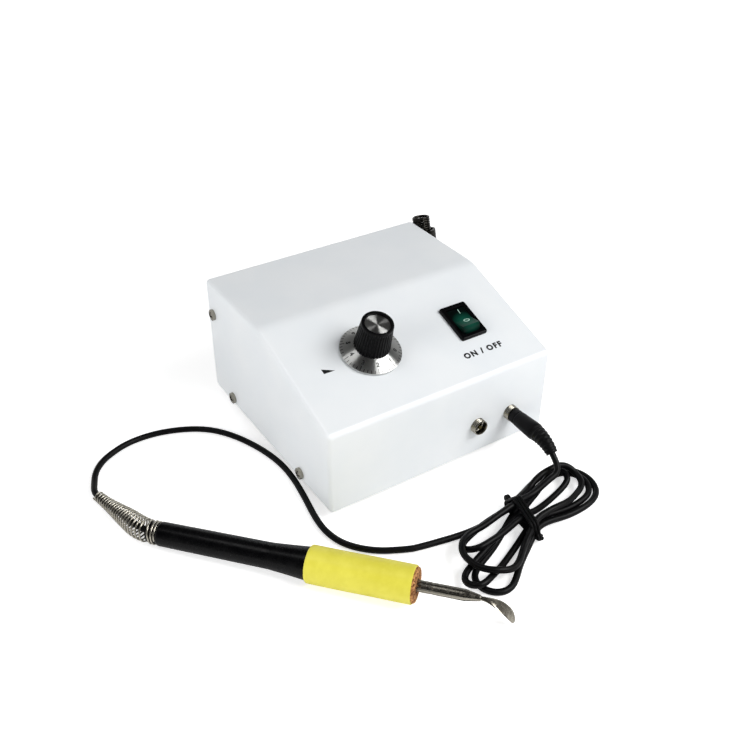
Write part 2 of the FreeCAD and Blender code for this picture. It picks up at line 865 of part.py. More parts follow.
def jack_pin(x):
    """The centre pin, which runs on behind as a solder lug."""
    width, thick, length = jack_lug
    top = jack_out - jack_pin_recess
    pin = rod(jack_pin_r, -jack_in - jack_floor, top)
    lug = block(width, thick, length, 0, 0, -jack_in - jack_floor - length)
    return on_front(fused([pin, lug]), x, jack_z)


def jack_nuts():
    piece = nut(jack_nut_flat, -sheet - jack_nut, -sheet, jack_r + thread_clearance)
    return group([on_front(piece, x, jack_z) for x in jack_xs])


def plug_face():
    return jack_out + plug_seat_gap


def plug_end():
    return plug_face() + plug_length


def plug_sleeve():
    """The plug's outer contact, in the socket's bore."""
    outer = jack_bore_r - plug_fit
    tube = turned([(plug_sleeve_r, jack_out - plug_reach), (outer - 0.3, jack_out - plug_reach),
                   (outer, jack_out - plug_reach + 0.3), (outer, plug_face() + plug_root),
                   (plug_sleeve_r, plug_face() + plug_root)])
    return on_front(tube, jack_xs[1], jack_z)


def plug_body():
    """The moulded body, a little wider at the cord end, with its core inside the sleeve."""
    face, end = plug_face(), plug_end()
    tip, root = jack_out - plug_reach + plug_core_recess, face + plug_root
    hole = jack_pin_r + plug_pin_gap
    body = turned([(hole, tip), (plug_sleeve_r, tip), (plug_sleeve_r, root),
                   (jack_bore_r - plug_fit, root), (jack_bore_r - plug_fit, face), (plug_nose_r, face),
                   (plug_back_r, end - plug_edge), (plug_back_r - plug_edge / 2, end), (0, end),
                   (0, root), (hole, root)])
    return on_front(body, jack_xs[1], jack_z)


def relief_frame(turn):
    """A point on the strain relief's drooping axis and the way ahead, for a turn in degrees."""
    angle = math.radians(turn)
    at = Vector(0, -relief_arc_r * (1 - math.cos(angle)), plug_end() + relief_arc_r * math.sin(angle))
    return at, Vector(0, -math.sin(angle), math.cos(angle))


def strain_relief():
    """The ribbed, tapering relief, which droops under the cord's weight."""
    steps = 4 * relief_ribs
    rings = []
    for k in range(steps + 1):
        at, way = relief_frame(relief_droop * k / steps)
        radius = relief_root_r + (relief_tip_r - relief_root_r) * k / steps
        if k % 4 in (2, 3) and k < steps:
            radius -= relief_groove
        rings.append(section(at, way, radius, relief_sides))
    return on_front(Part.makeLoft(rings, True, True), jack_xs[1], jack_z)


def relief_exit():
    """Where the cord leaves the relief."""
    at, way = relief_frame(relief_droop)
    return on_front(Part.Vertex(at), jack_xs[1], jack_z).Point


def hank_point(u, v, z):
    """A point of the hank: u along its length, v across it, bent a little at the waist."""
    main = math.radians(hank_turn)
    bend = math.tan(math.radians(hank_bend))
    bow = bend * (math.sqrt(u * u + hank_bend_length ** 2) - hank_bend_length)
    across = v - bow
    return Vector(waist_x + u * math.cos(main) - across * math.sin(main),
                  waist_y + u * math.sin(main) + across * math.cos(main), z)


def hank_way(u, forward):
    """The hank's own direction at u, forward (1) or backward (-1)."""
    ahead = hank_point(u + 0.01, 0, 0) - hank_point(u - 0.01, 0, 0)
    return ahead.normalize() * forward


def hank_stations():
    """Each station of the winding: six a loop, spiralling in on the table and out again above."""
    low = floor_z + cord_high
    for k in range(hank_stations_in + hank_stations_out + 1):
        inward = min(k, 2 * hank_stations_in - k) / 6.0
        layer = low if k < hank_stations_in else low + hank_layer
        place = k % 6
        if place in (0, 5):
            u, v = -left_reach, left_lobe_r - hank_step * inward
        elif place in (1, 4):
            u, v = 0.0, waist_half - waist_step * inward
        else:
            u, v = right_reach, right_lobe_r - hank_step * inward
        top = place in (0, 1, 2)
        yield u, v if top else -v, layer, 1 if top else -1


def cord_hank():
    """The spare cord, folded into loops that are drawn in at the waist."""
    points, ways = [], []
    for u, v, z, forward in hank_stations():
        points.append(hank_point(u, v, z))
        ways.append(hank_way(u, forward))
    points[0] = hank_point(enter_u, enter_v, points[0].z)
    ways[0] = Rotation(Z, enter_heading).multVec(X)
    points[-1].z += hank_layer
    points.append(hank_point(leave_u, leave_v, floor_z + cord_high + 2 * hank_layer + leave_lift))
    ways.append((hank_way(leave_u, 1) + Z * leave_rise).normalize())
    body, start, end = wound(points, ways, cord_r, hank_sides, "hank")
    return body, (start, ways[0]), (end, ways[-1])


def hank_tie():
    """The twist tie round the waist: a flat band on the bundle, with two twisted tails."""
    half = waist_half + cord_high + tie_gap
    high = 2 * cord_high + 2 * hank_layer + tie_gap
    outer = rounded_band(half + tie_thick, high + tie_thick, tie_corner + tie_thick)
    band = outer.cut(rounded_band(half, high, tie_corner))
    tail = block(tie_thick, tie_tail_width, tie_tail, 0, half - tie_corner, high + tie_thick / 2)
    body = fused([band, tail])
    at = hank_point(0, 0, floor_z + floor_gap)
    return placed(body, Rotation(Z, hank_turn), at)


def rounded_band(half, high, radius):
    """A block across the waist, rounded along its upper edges."""
    body = Part.makeBox(tie_width, 2 * half, high, Vector(-tie_width / 2, -half, 0))
    top = [e for e in body.Edges
           if e.CenterOfMass.z > high - 1e-6 and abs(e.tangentAt(e.FirstParameter).x) > 0.9]
    return body.makeFillet(radius, top)


def pen_tilt():
    """The pen rests on the handle's rear end and the grip's rear edge."""
    return math.degrees(math.atan2(grip_r - handle_rear_r, handle_length))


def on_pen(shape):
    """Local X runs from the handle's rear face to the tip."""
    turn = Rotation(Z, pen_yaw).multiply(Rotation(Y, -pen_tilt()))
    lift = handle_rear_r / math.cos(math.radians(pen_tilt()))
    return placed(shape, turn, Vector(pen_rear_x, pen_rear_y, floor_z + lift + floor_gap))


def turned_along(profile):
    """A solid of revolution about the pen's axis, from (distance along, radius) corners."""
    return placed(turned([(r, x) for x, r in profile]), Rotation(Y, 90), ORIGIN)


def pen_handle():
    """The black handle: a neck for the guard, a long barrel, a flare and a spigot inside the grip."""
    end = handle_length
    body = turned_along([(-neck_length, 0), (-neck_length, neck_r), (0, neck_r), (0, handle_rear_r - 0.5),
                         (0.5, handle_rear_r), (handle_straight, handle_r), (end - 1.5, handle_flare_r),
                         (end, handle_flare_r), (end, spigot_r), (end + spigot_length, spigot_r),
                         (end + spigot_length, 0)])
    bore = turned_along([(0, 0), (0, handle_bore_r), (end + spigot_length + 1, handle_bore_r),
                         (end + spigot_length + 1, 0)])
    hole = cord_high + neck_bore_gap
    entry = turned_along([(-neck_length - 1, 0), (-neck_length - 1, hole), (1, hole), (1, 0)])
    return on_pen(body.cut(bore).cut(entry))


def grip_sleeve():
    """The thin yellow sleeve over the cork."""
    start = handle_length - sleeve_overlap
    cork = grip_r - sleeve_wall
    end = handle_length + grip_length
    body = turned_along([(start, cork), (start, grip_r - 0.2), (start + 0.2, grip_r), (end - 0.2, grip_r),
                         (end, grip_r - 0.2), (end, cork)])
    return on_pen(body)


def grip_cork():
    """The cork that keeps the heat from the fingers, bored for the spigot and the rod."""
    start, end = handle_length, handle_length + grip_length + cork_out
    outer = grip_r - sleeve_wall
    hole = rod_r + rod_gap
    body = turned_along([(start, spigot_r), (start, outer), (end - cork_round, outer),
                         (end - 0.3 * cork_round, outer - 0.3 * cork_round), (end, outer - cork_round),
                         (end, hole), (start + spigot_length, hole), (start + spigot_length, spigot_r)])
    return on_pen(body)


def heater_tube():
    """The steel tube that carries the heat: a collar in the spigot, and a cone down to the tip's socket."""
    tip = rod_front + rod_cone
    bore_end = rod_rear + heater_length + 4
    body = turned_along([(rod_rear, rod_bore_r), (rod_rear, handle_bore_r),
                         (rod_rear + collar_length, handle_bore_r), (rod_rear + collar_length, rod_r),
                         (rod_front, rod_r), (tip, rod_tip_r), (tip, tip_shank_r + tip_fit),
                         (bore_end, tip_shank_r + tip_fit), (bore_end, rod_bore_r)])
    return on_pen(body)


def heater_core():
    """The ceramic rod that holds the heating wire."""
    radius = rod_bore_r - heater_fit
    return on_pen(turned_along([(rod_rear, 0), (rod_rear, radius), (rod_rear + heater_length, radius),
                                (rod_rear + heater_length, 0)]))


def pen_wires():
    """The two wires from the cord to the heater, inside the handle."""
    wires = []
    for side in (-1, 1):
        wire = turned_along([(0, 0), (0, wire_r), (rod_rear, wire_r), (rod_rear, 0)])
        wires.append(wire.translated(Y * (side * wire_spread)))
    return on_pen(group(wires))


def tip_point(along):
    """A point on the tip's drooping centre line and the way ahead, for a share of its turn."""
    angle = math.radians(tip_turn * along)
    start = rod_front + rod_cone
    at = Vector(start + tip_arc_r * math.sin(angle), 0, -tip_arc_r * (1 - math.cos(angle)))
    return at, Vector(math.cos(angle), 0, -math.sin(angle))


def spoon_section(at, way, wide, thick, hollow):
    """An oval section across the tip, whose upper side is hollowed in the middle."""
    over = Y.cross(way)
    corners = []
    for k in range(tip_sides + 1):
        angle = 2 * math.pi * (k + 0.5) / tip_sides
        side, high = math.cos(angle), math.sin(angle)
        dip = hollow * (1 - side * side) if high > 0 else 0.0
        corners.append(at + Y * (wide / 2 * side) + over * (thick / 2 * high - dip))
    return Part.makePolygon(corners)


def wax_tip():
    """The changeable tip: a round shank, then a blade that widens, droops and ends in a shallow spoon."""
    sections = []
    for along, wide, thick, hollow in tip_stations:
        at, way = tip_point(along)
        sections.append(spoon_section(at, way, wide, thick, hollow))
    spoon = Part.makeLoft(sections, True, True)
    start = rod_front + rod_cone
    shank = turned_along([(start - tip_seat, 0), (start - tip_seat, tip_shank_r), (start, tip_shank_r),
                          (start, 0)])
    return on_pen(fused([shank, spoon]))


def guard_axis(distance):
    """The guard's own axis behind the handle: straight, then bent, then straight; point and way."""
    straight = min(distance, neck_length)
    at = Vector(-straight, 0, 0)
    bend = math.radians(guard_bend)
    radius = guard_bend_length / bend
    along = max(0.0, min(distance - neck_length, guard_bend_length))
    turn = along / radius
    at += Vector(-radius * math.sin(turn), radius * (1 - math.cos(turn)), 0)
    way = Vector(-math.cos(turn), math.sin(turn), 0)
    rest = max(0.0, distance - neck_length - guard_bend_length)
    return at + way * rest, way


def guard_length():
    return neck_length + guard_bend_length + guard_straight


def guard_drop(distance):
    """How far the guard's axis sags below the pen's, so that it lies on the table."""
    share = max(0.0, distance - neck_length) / (guard_length() - neck_length)
    tilt = math.tan(math.radians(pen_tilt()))
    fall = handle_rear_r - guard_thin_r - guard_wire_r
    return share * share * (3 - 2 * share) * (fall - tilt * guard_length())


def guard_stations():
    """Half-turn stations of the guard's wire: two wide turns on the neck, then close ones."""
    neck_steps = 2 * guard_neck_turns
    steps = neck_steps + 2 * guard_turns
    length = guard_length()
    for k in range(steps + 1):
        if k <= neck_steps:
            distance = guard_neck_start + (neck_length - guard_neck_start) * k / neck_steps
        else:
            distance = neck_length + (length - neck_length) * (k - neck_steps) / (2.0 * guard_turns)
        share = max(0.0, distance - neck_length) / (length - neck_length)
        yield distance, guard_wide_r + (guard_thin_r - guard_wide_r) * share, math.pi * k


def guard_frame(distance):
    at, way = guard_axis(distance)
    at = at + Z * (-guard_drop(distance))
    side = Z.cross(way)
    return at, way, side


def cable_guard():
    """The coned wire spring that keeps the cord from kinking where it enters the pen."""
    stations = list(guard_stations())

    def wire_point(step):
        k = min(int(step), len(stations) - 2)
        part = step - k
        (d0, r0, a0), (d1, r1, a1) = stations[k], stations[k + 1]
        at, _, side = guard_frame(d0 + (d1 - d0) * part)
        angle = a0 + (a1 - a0) * part
        radius = r0 + (r1 - r0) * part
        return at + side * (radius * math.cos(angle)) + Z * (radius * math.sin(angle))

    return on_pen(coil_through(wire_point, len(stations) - 1, guard_wire_r, guard_sides, "guard"))


def guard_tail():
    """The cord inside the guard, from the neck to the guard's thin end."""
    stops = [0, neck_length, neck_length + guard_bend_length / 3, neck_length + guard_bend_length * 2 / 3,
             neck_length + guard_bend_length + 1, guard_length() - guard_straight / 2, guard_length()]
    route = [on_pen(Part.Vertex(guard_frame(stop)[0])).Point for stop in stops]
    return run_tube(route, cord_r, "guard cord"), route[-1]


def holder_reach():
    """The holder coil's outer radius, to the corners of its wire."""
    return coil_r + coil_wire_r * 1.26


def holder_depth():
    return coil_pitch * coil_turns + 2 * coil_wire_r


def cup_reach():
    return holder_reach() + clip_fit + clip_wall


def on_holder(shape):
    """Local Z runs down the holder from its mouth, and the cup just touches the right wall."""
    at = Vector(case_width / 2 + cup_reach(), holder_mouth_y, holder_mouth_z)
    return placed(shape, Rotation(X, half_turn - holder_lean), at)


def pen_holder_coil():
    """The open wire coil that the hot end of the pen is stood in."""
    def wire_point(step):
        angle = math.pi * step
        return Vector(coil_r * math.cos(angle), coil_r * math.sin(angle),
                      coil_wire_r * 1.26 + coil_pitch / 2 * step)

    return on_holder(coil_through(wire_point, 2 * coil_turns, coil_wire_r, coil_sides, "holder"))


def holder_clip():
    """A cup under the coil, with a tab that hangs down the wall to the cover's upper screw."""
    low = holder_depth() + clip_fit
    wall = case_width / 2
    cup = on_holder(rod(cup_reach(), low + clip_wall - clip_width, low + clip_wall))
    foot = on_holder(Part.Vertex(0, 0, low + clip_wall - clip_width / 2)).Point
    tab_low = high_screw_z - clip_tab / 2
    tab = Part.makeBox(clip_wall, clip_tab, foot.z - tab_low,
                       Vector(wall, high_screw_y - clip_tab / 2, tab_low))
    body = fused([cup, tab])
    body = body.cut(on_holder(rod(holder_reach() + clip_fit, -low, low)))
    body = body.cut(on_holder(rod(coil_r - coil_wire_r, 0, 2 * low)))
    return body.cut(on_side(rod(m3_r + thread_clearance, -1, 2 * clip_wall), 1, high_screw_y, high_screw_z))


def clip_screw():
    """The cover's upper right screw, longer by the tab that it also holds."""
    screw = pan_screw(cover_screw_length + clip_wall).translated(Z * clip_wall)
    return on_side(screw, 1, high_screw_y, high_screw_z)


def at_transformer(shape):
    return shape.translated(Vector(transformer_x, transformer_y, sheet))


def window_x():
    return (core_x - limb - 2 * yoke) / 2


def transformer_core():
    """The laminated block with a window each side of its middle limb."""
    body = block(core_x, core_y, core_z)
    for side in (-1, 1):
        at = side * (limb + window_x()) / 2
        body = body.cut(block(window_x(), core_y + 2, core_z - 2 * yoke, at, 0, yoke))
    return at_transformer(body)


def transformer_bobbin():
    """The moulded bobbin on the middle limb: a square tube with two flanges."""
    low, high = yoke, core_z - yoke
    tube_x, tube_y = limb + 2 * bobbin_wall, core_y + 2 * bobbin_wall
    flange_x = limb + 2 * window_x()
    body = fused([block(tube_x, tube_y, high - low, z=low),
                  block(flange_x, bobbin_y, bobbin_wall, z=low),
                  block(flange_x, bobbin_y, bobbin_wall, z=high - bobbin_wall)])
    return at_transformer(body.cut(block(limb, core_y, core_z, z=0)))


def transformer_winding():
    low, high = yoke + bobbin_wall, core_z - yoke - bobbin_wall
    tube_x, tube_y = limb + 2 * bobbin_wall, core_y + 2 * bobbin_wall
    wide_x = limb + 2 * window_x() - 2 * winding_inset
    wide_y = bobbin_y - 2 * winding_inset
    body = rounded_block(wide_x, wide_y, low, high, winding_corner)
    return at_transformer(body.cut(block(tube_x, tube_y, core_z, z=0)))


def transformer_strap():
    """The steel strap over the core, with a foot each side."""
    wide = core_x + 2 * strap
    body = block(wide, strap_y, core_z + strap)
    for side in (-1, 1):
        body = body.fuse(block(strap_foot, strap_y, strap, side * (wide + strap_foot) / 2, 0, 0))
    body = body.cut(block(core_x, strap_y + 2, core_z)).removeSplitter()
    body = at_transformer(body)
    for x, y in transformer_screw_places():
        body = body.cut(rod(m3_r + thread_clearance, 0, 3 * sheet, x, y))
    return body.cut(at_transformer(block(limb + 2 * window_x(), bobbin_y, core_z - 2 * yoke, z=yoke)))


def inner_screws():
    """The short screws that hold the transformer and the board."""
    screw = pan_screw(inner_screw_length)
    places = [(x, y, sheet + strap) for x, y in transformer_screw_places()]
    places += [(x, y, board_top()) for x, y in board_screw_places()]
    return group([screw.translated(Vector(*place)) for place in places])


def board_top():
    return sheet + standoff_height + board_thick


def on_board(shape, place):
    return shape.translated(Vector(board_at[0] + place[0], board_at[1] + place[1], board_top()))


def circuit_board():
    body = block(board_x, board_y, board_thick, board_at[0], board_at[1], sheet + standoff_height)
    for x, y in board_screw_places():
        body = body.cut(rod(m3_r + hole_clearance, 0, board_top() + 1, x, y))
    return body


def board_standoffs():
    """Hexagonal posts, pressed into the base, that the board is screwed down to."""
    high = sheet + standoff_height
    post = nut(standoff_flat, sheet, high, m3_r + thread_clearance)
    return [post.translated(Vector(x, y, 0)) for x, y in board_screw_places()]


def capacitors():
    can = turned([(0, 0), (capacitor_r, 0), (capacitor_r, capacitor_height - capacitor_edge),
                  (capacitor_r - capacitor_edge, capacitor_height), (0, capacitor_height)])
    return group([on_board(can, place) for place in capacitor_places])


def heat_sink():
    """A finned sink standing on the board, with its back to the regulator."""
    wide, deep, high = sink
    pieces = [block(wide, sink_fin, high, 0, -deep / 2 + sink_fin / 2, 0)]
    for k in range(sink_fins):
        x = -wide / 2 + sink_fin / 2 + k * (wide - sink_fin) / (sink_fins - 1)
        pieces.append(block(sink_fin, deep, high, x, 0, 0))
    return on_board(fused(pieces), sink_place)


def regulator_package():
    """The power transistor that feeds the heater, on the sink's flat side."""
    wide, thick, high = regulator
    y = sink_place[1] - sink[1] / 2 - thick / 2
    body = block(wide, thick, high - regulator_leg, 0, 0, regulator_leg)
    legs = [block(1.0, 0.6, regulator_leg, k * 2.54, 0, 0) for k in (-1, 0, 1)]
    return on_board(fused([body] + legs), (sink_place[0], y))


def terminal_block():
    """The screw terminals that the leads come to."""
    wide, deep, high = terminal
    hole = terminal_hole
    body = block(wide, deep, high).cut(block(wide + 2, terminal_step, hole, 0, -deep / 2, high - hole))
    for k in range(terminal_ways):
        x = -wide / 2 + (k + 0.5) * wide / terminal_ways
        body = body.cut(block(hole, hole, terminal_screw_depth, x, hole / 2, high - terminal_screw_depth))
        body = body.cut(block(hole, deep / 2, hole, x, -deep / 2, hole / 2))
    return on_board(body, terminal_place)


def inlet_outline(size_x, size_z, low, high, corner):
    """The inlet's six-sided section: two corners of the upper side are cut off."""
    half_x, half_z = size_x / 2, size_z / 2
    corners = [(-half_x, half_z), (half_x, half_z), (half_x, corner - half_z), (half_x - corner, -half_z),
               (corner - half_x, -half_z), (-half_x, corner - half_z)]
    points = [Vector(x, y, low) for x, y in corners]
    return Part.Face(Part.makePolygon(points + points[:1])).extrude(Z * (high - low))


def mains_inlet():
    """The panel socket for a mains lead: a flange with ears, and a recess round three pins."""
    flange = rounded_block(inlet_ears, inlet_flange_z, 0, inlet_flange, inlet_ear_corner)
    body = block(inlet_cut_x, inlet_cut_z, inlet_depth, z=-inlet_depth)
    shell = fused([flange, body])
    pit = inlet_outline(inlet_cut_x - 2 * inlet_wall, inlet_cut_z - 2 * inlet_wall,
                        inlet_flange - inlet_pit, inlet_flange + 1, inlet_corner)
    shell = shell.cut(pit)
    for side in (-1, 1):
        shell = shell.cut(rod(m3_r + thread_clearance, -1, inlet_flange + 1, side * inlet_ear_pitch / 2))
    for x, y in inlet_pin_places():
        shell = shell.cut(block(inlet_pin[1], inlet_pin[0], inlet_depth + 2, x, y, -inlet_depth - 1))
    return on_rear(shell, inlet_x, inlet_z)


def inlet_pin_places():
    return [(-inlet_pin_pitch, inlet_pin_rise / 2), (0, -inlet_pin_rise / 2),
            (inlet_pin_pitch, inlet_pin_rise / 2)]


def inlet_pins():
    """Three flat pins that run on behind as tails."""
    thick, wide, length = inlet_pin
    low = -inlet_depth - inlet_tail
    high = inlet_flange - inlet_pit + length
    pins = [block(wide, thick, high - low, x, y, low) for x, y in inlet_pin_places()]
    return on_rear(group(pins), inlet_x, inlet_z)


def inlet_screws():
    screw = pan_screw(inlet_screw_length).translated(Z * inlet_flange)
    return group([on_rear(screw, inlet_x + s * inlet_ear_pitch / 2, inlet_z) for s in (-1, 1)])


def fuse_holder():
    """The round fuse carrier's body, with its flange outside the plate."""
    body = turned([(fuse_bore_r, -fuse_body_depth + 2), (0, -fuse_body_depth + 2), (0, -fuse_body_depth),
                   (fuse_body_r, -fuse_body_depth), (fuse_body_r, 0), (fuse_flange_r, 0),
                   (fuse_flange_r, fuse_flange - 0.4), (fuse_flange_r - 0.4, fuse_flange),
                   (fuse_bore_r, fuse_flange)])
    return on_rear(body, fuse_x, fuse_z)


def fuse_nut_ring():
    ring = nut(fuse_nut_flat, -sheet - fuse_nut, -sheet, fuse_body_r + thread_clearance)
    return on_rear(ring, fuse_x, fuse_z)


def fuse_cap():
    """The cap that carries the fuse: a slotted head and a stem in the body's bore."""
    low = fuse_flange + 0.1
    cap = turned([(0, low - fuse_stem), (fuse_stem_r, low - fuse_stem), (fuse_stem_r, low),
                  (fuse_cap_r, low), (fuse_cap_r, low + fuse_cap_height - 0.6),
                  (fuse_cap_r - 0.6, low + fuse_cap_height), (0, low + fuse_cap_height)])
    cap = cap.cut(rod(fuse_r + 0.02, low - fuse_stem - 1, low - fuse_stem + fuse_grip))
    cap = cap.cut(block(8.0, 1.2, 2.0, 0, 0, low + fuse_cap_height - 1.2))
    return on_rear(cap, fuse_x, fuse_z)


def fuse_cartridge():
    """A glass fuse with a metal cap at each end, as one piece."""
    low = fuse_flange + 0.1 - fuse_stem + fuse_grip - fuse_length
    end = fuse_end
    body = turned([(0, low), (fuse_r, low), (fuse_r, low + end), (fuse_r - 0.2, low + end),
                   (fuse_r - 0.2, low + fuse_length - end), (fuse_r, low + fuse_length - end),
                   (fuse_r, low + fuse_length), (0, low + fuse_length)])
    return on_rear(body, fuse_x, fuse_z)


def fuse_lugs():
    width, thick, length = fuse_lug
    tail = block(width, thick, length, 0, 0, -fuse_body_depth - length)
    side = block(thick, width, length, fuse_body_r + thick / 2, 0, -fuse_body_depth + 6)
    return on_rear(group([tail, side]), fuse_x, fuse_z)


def plug_route(hank_end):
    """The cord from the plug's relief down to the hank, which it meets square to its end."""
    at, way = hank_end
    points = [(40.0, -95.0, 8.1), (38.6, -97.3, 6.4)]
    return [relief_exit()] + [Vector(*point) for point in points] + [at + way * plug_run_last, at]


def pen_route(guard_end, hank_start):
    """The cord over the table from the pen round the case's left side to the hank, met square to its start."""
    at, way = hank_start
    lie = floor_z + cord_high
    points = [(-145.3, 23.0), (-141.0, 31.5), (-131.0, 37.8), (-116.0, 41.2), (-98.5, 39.3),
              (-82.5, 28.5), (-72.5, 10.0), (-67.6, -12.0), (-66.6, -33.0), (-70.2, -51.0),
              (-71.2, -65.5), (-65.2, -79.0), (-53.0, -89.4)]
    return [guard_end] + [Vector(x, y, lie) for x, y in points] + [at - way * pen_run_last, at]


def main():
    os.makedirs("parts", exist_ok=True)
    case_parts()
    dial_parts()
    switch_parts()
    socket_parts()
    pen_parts()
    holder_parts()
    inner_parts()
    rear_parts()
    cord_parts()


def case_parts():
    save(cover_shell(), "cover_shell")
    save(base_chassis(), "base_chassis")
    save(side_screws(), "side_screws")
    save(rubber_feet(), "rubber_feet")
    save(foot_screws(), "foot_screws")
    save(small_nuts(), "small_nuts")


def dial_parts():
    save(potentiometer_body(), "potentiometer_body")
    save(potentiometer_lugs(), "potentiometer_lugs")
    save(potentiometer_nut(), "potentiometer_nut")
    save(potentiometer_shaft(), "potentiometer_shaft")
    save(dial_skirt(), "dial_skirt")
    save(control_knob(), "control_knob")
    save(knob_cap(), "knob_cap")
    save(knob_grub_screw(), "knob_grub_screw")


def switch_parts():
    save(switch_housing(), "switch_housing")
    save(switch_rocker(), "switch_rocker")
    save(switch_lamp(), "switch_lamp")
    save(switch_terminals(), "switch_terminals")


def socket_parts():
    save(jack_barrel(jack_xs[0]), "left_jack_barrel")
    save(jack_barrel(jack_xs[1]), "right_jack_barrel")
    save(group([jack_insulator(x) for x in jack_xs]), "jack_insulators")
    save(group([jack_pin(x) for x in jack_xs]), "jack_pins")
    save(jack_nuts(), "jack_nuts")
    save(plug_sleeve(), "plug_sleeve")
    save(plug_body(), "plug_body")
    save(strain_relief(), "plug_strain_relief")


def pen_parts():
    save(pen_handle(), "pen_handle")
    save(grip_sleeve(), "pen_grip_sleeve")
    save(grip_cork(), "grip_cork")
    save(heater_tube(), "heater_tube")
    save(heater_core(), "heater_core")
    save(pen_wires(), "pen_wires")
    save(wax_tip(), "wax_tip")
    save(cable_guard(), "cable_guard_spring")


def holder_parts():
    save(pen_holder_coil(), "pen_holder_coil")
    save(holder_clip(), "pen_holder_clip")
    save(clip_screw(), "holder_screw")


def inner_parts():
    save(transformer_core(), "transformer_core")
    save(transformer_bobbin(), "transformer_bobbin")
    save(transformer_winding(), "transformer_winding")
    save(transformer_strap(), "transformer_strap")
    save(inner_screws(), "inner_screws")
    save(circuit_board(), "circuit_board")
    save(capacitors(), "capacitors")
    save(heat_sink(), "heat_sink")
    save(regulator_package(), "regulator")
    save(terminal_block(), "terminal_block")


def rear_parts():
    save(mains_inlet(), "mains_inlet")
    save(inlet_pins(), "inlet_pins")
    save(inlet_screws(), "inlet_screws")
    save(fuse_holder(), "fuse_holder")
    save(fuse_nut_ring(), "fuse_holder_nut")
    save(fuse_cap(), "fuse_cap")
    save(fuse_cartridge(), "fuse_cartridge")
    save(fuse_lugs(), "fuse_lugs")


def cord_parts():
    hank, hank_start, hank_end = cord_hank()
    tail, guard_end = guard_tail()
    save(hank, "cord_hank")
    save(hank_tie(), "hank_tie")
    save(tail, "guard_cord")
    save(run_tube(plug_route(hank_end), cord_r, "plug run"), "cord_plug_run")
    save(run_tube(pen_route(guard_end, hank_start), cord_r, "pen run"), "cord_pen_run")
    print("ends", relief_exit(), hank_end, guard_end, hank_start)


main()
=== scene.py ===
"""The looks of an electric wax carving pen and its control unit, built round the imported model.

Shapes are worked out in millimetres in the frame of the piece that carries them: Z runs out of the
slope, the front, a side or the rear, X runs along the pen from its rear end, and Z runs down the
holder. They go into the meshes in metres, in the model's own frame.
"""

import json
import math

import bmesh
import bpy
import numpy as np
from mathutils import Matrix

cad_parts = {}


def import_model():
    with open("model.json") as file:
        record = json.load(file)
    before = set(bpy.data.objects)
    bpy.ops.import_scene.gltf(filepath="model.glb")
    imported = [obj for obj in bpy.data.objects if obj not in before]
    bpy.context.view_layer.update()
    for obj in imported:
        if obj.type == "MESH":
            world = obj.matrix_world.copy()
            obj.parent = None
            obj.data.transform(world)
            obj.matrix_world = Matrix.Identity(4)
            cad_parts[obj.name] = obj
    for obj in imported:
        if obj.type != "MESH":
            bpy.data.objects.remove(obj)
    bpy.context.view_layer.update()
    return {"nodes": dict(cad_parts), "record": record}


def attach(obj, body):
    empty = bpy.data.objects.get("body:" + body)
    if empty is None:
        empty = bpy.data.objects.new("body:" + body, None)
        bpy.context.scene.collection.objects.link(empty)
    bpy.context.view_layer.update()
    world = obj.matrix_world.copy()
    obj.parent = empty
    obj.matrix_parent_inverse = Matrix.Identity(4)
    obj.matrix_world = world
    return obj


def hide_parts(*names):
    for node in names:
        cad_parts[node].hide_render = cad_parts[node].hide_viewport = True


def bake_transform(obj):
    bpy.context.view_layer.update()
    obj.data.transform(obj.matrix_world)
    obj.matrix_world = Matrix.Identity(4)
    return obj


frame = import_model()

MM = 0.001
TAU = 2 * math.pi

# the case, as in the model
case_width = 125.0
front_y = -59.5
rear_face_y = 58.7
front_height = 43.2
slope_angle = math.atan2(64.2 - 43.2, 62.8)
floor_z = -5.0
side_x = case_width / 2

# what stands on the case
dial_at = (-20.0, 34.6)
switch_at = (32.0, 32.7)
jack_xs = (20.0, 40.0)
jack_z = 15.8
low_screws = ((-33.2, 5.0), (36.8, 5.0))
high_screw = (52.5, 47.0)
screw_head_r = 2.9
screw_head = 2.0
foot_places = [(sx * 46.5, sy * 43.5) for sx in (-1, 1) for sy in (-1, 1)]

# the pen, from its rear end along its axis
pen_rear = (-131.4, -30.6)
pen_yaw = math.radians(-49.8)
handle_rear_r = 5.4
handle_r = 5.7
handle_flare_r = 7.1
handle_straight = 52.0
handle_length = 70.2
neck_r = 4.7
neck_length = 7.0
grip_r = 8.2
grip_length = 44.6
sleeve_wall = 0.65
cork_out = 1.2
rod_r = 2.45
rod_front = 135.5
rod_cone = 6.5
rod_tip_r = 1.25
pen_tilt = math.atan2(grip_r - handle_rear_r, handle_length)
guard_wire_r = 0.42
guard_wide_r = 4.98
guard_thin_r = 2.2
guard_neck = 4.0
guard_bend = math.radians(27.0)
guard_bend_length = 10.0
guard_straight = 30.6
guard_length = guard_neck + guard_bend_length + guard_straight

# the cord
cord_r = 1.5
cord_lie = -3.34


def colour(code):
    """Turn an sRGB hex value into linear light."""
    parts = [int(code[i:i + 2], 16) / 255 for i in (1, 3, 5)]
    return tuple(c / 12.92 if c <= 0.04045 else ((c + 0.055) / 1.055) ** 2.4 for c in parts) + (1.0,)


def axes(origin, x, y, z):
    """A local frame as a 4 x 4 array, from its origin and its three directions."""
    made = np.eye(4)
    made[:3, 0], made[:3, 1], made[:3, 2], made[:3, 3] = x, y, z, origin
    return made


def slope_frame(x, s):
    """Z out of the slope, Y up it; s runs up the slope from its front edge."""
    c, n = math.cos(slope_angle), math.sin(slope_angle)
    return axes((x, front_y + s * c, front_height + s * n), (1, 0, 0), (0, c, n), (0, -n, c))


def front_frame(x, z):
    return axes((x, front_y, z), (1, 0, 0), (0, 0, 1), (0, -1, 0))


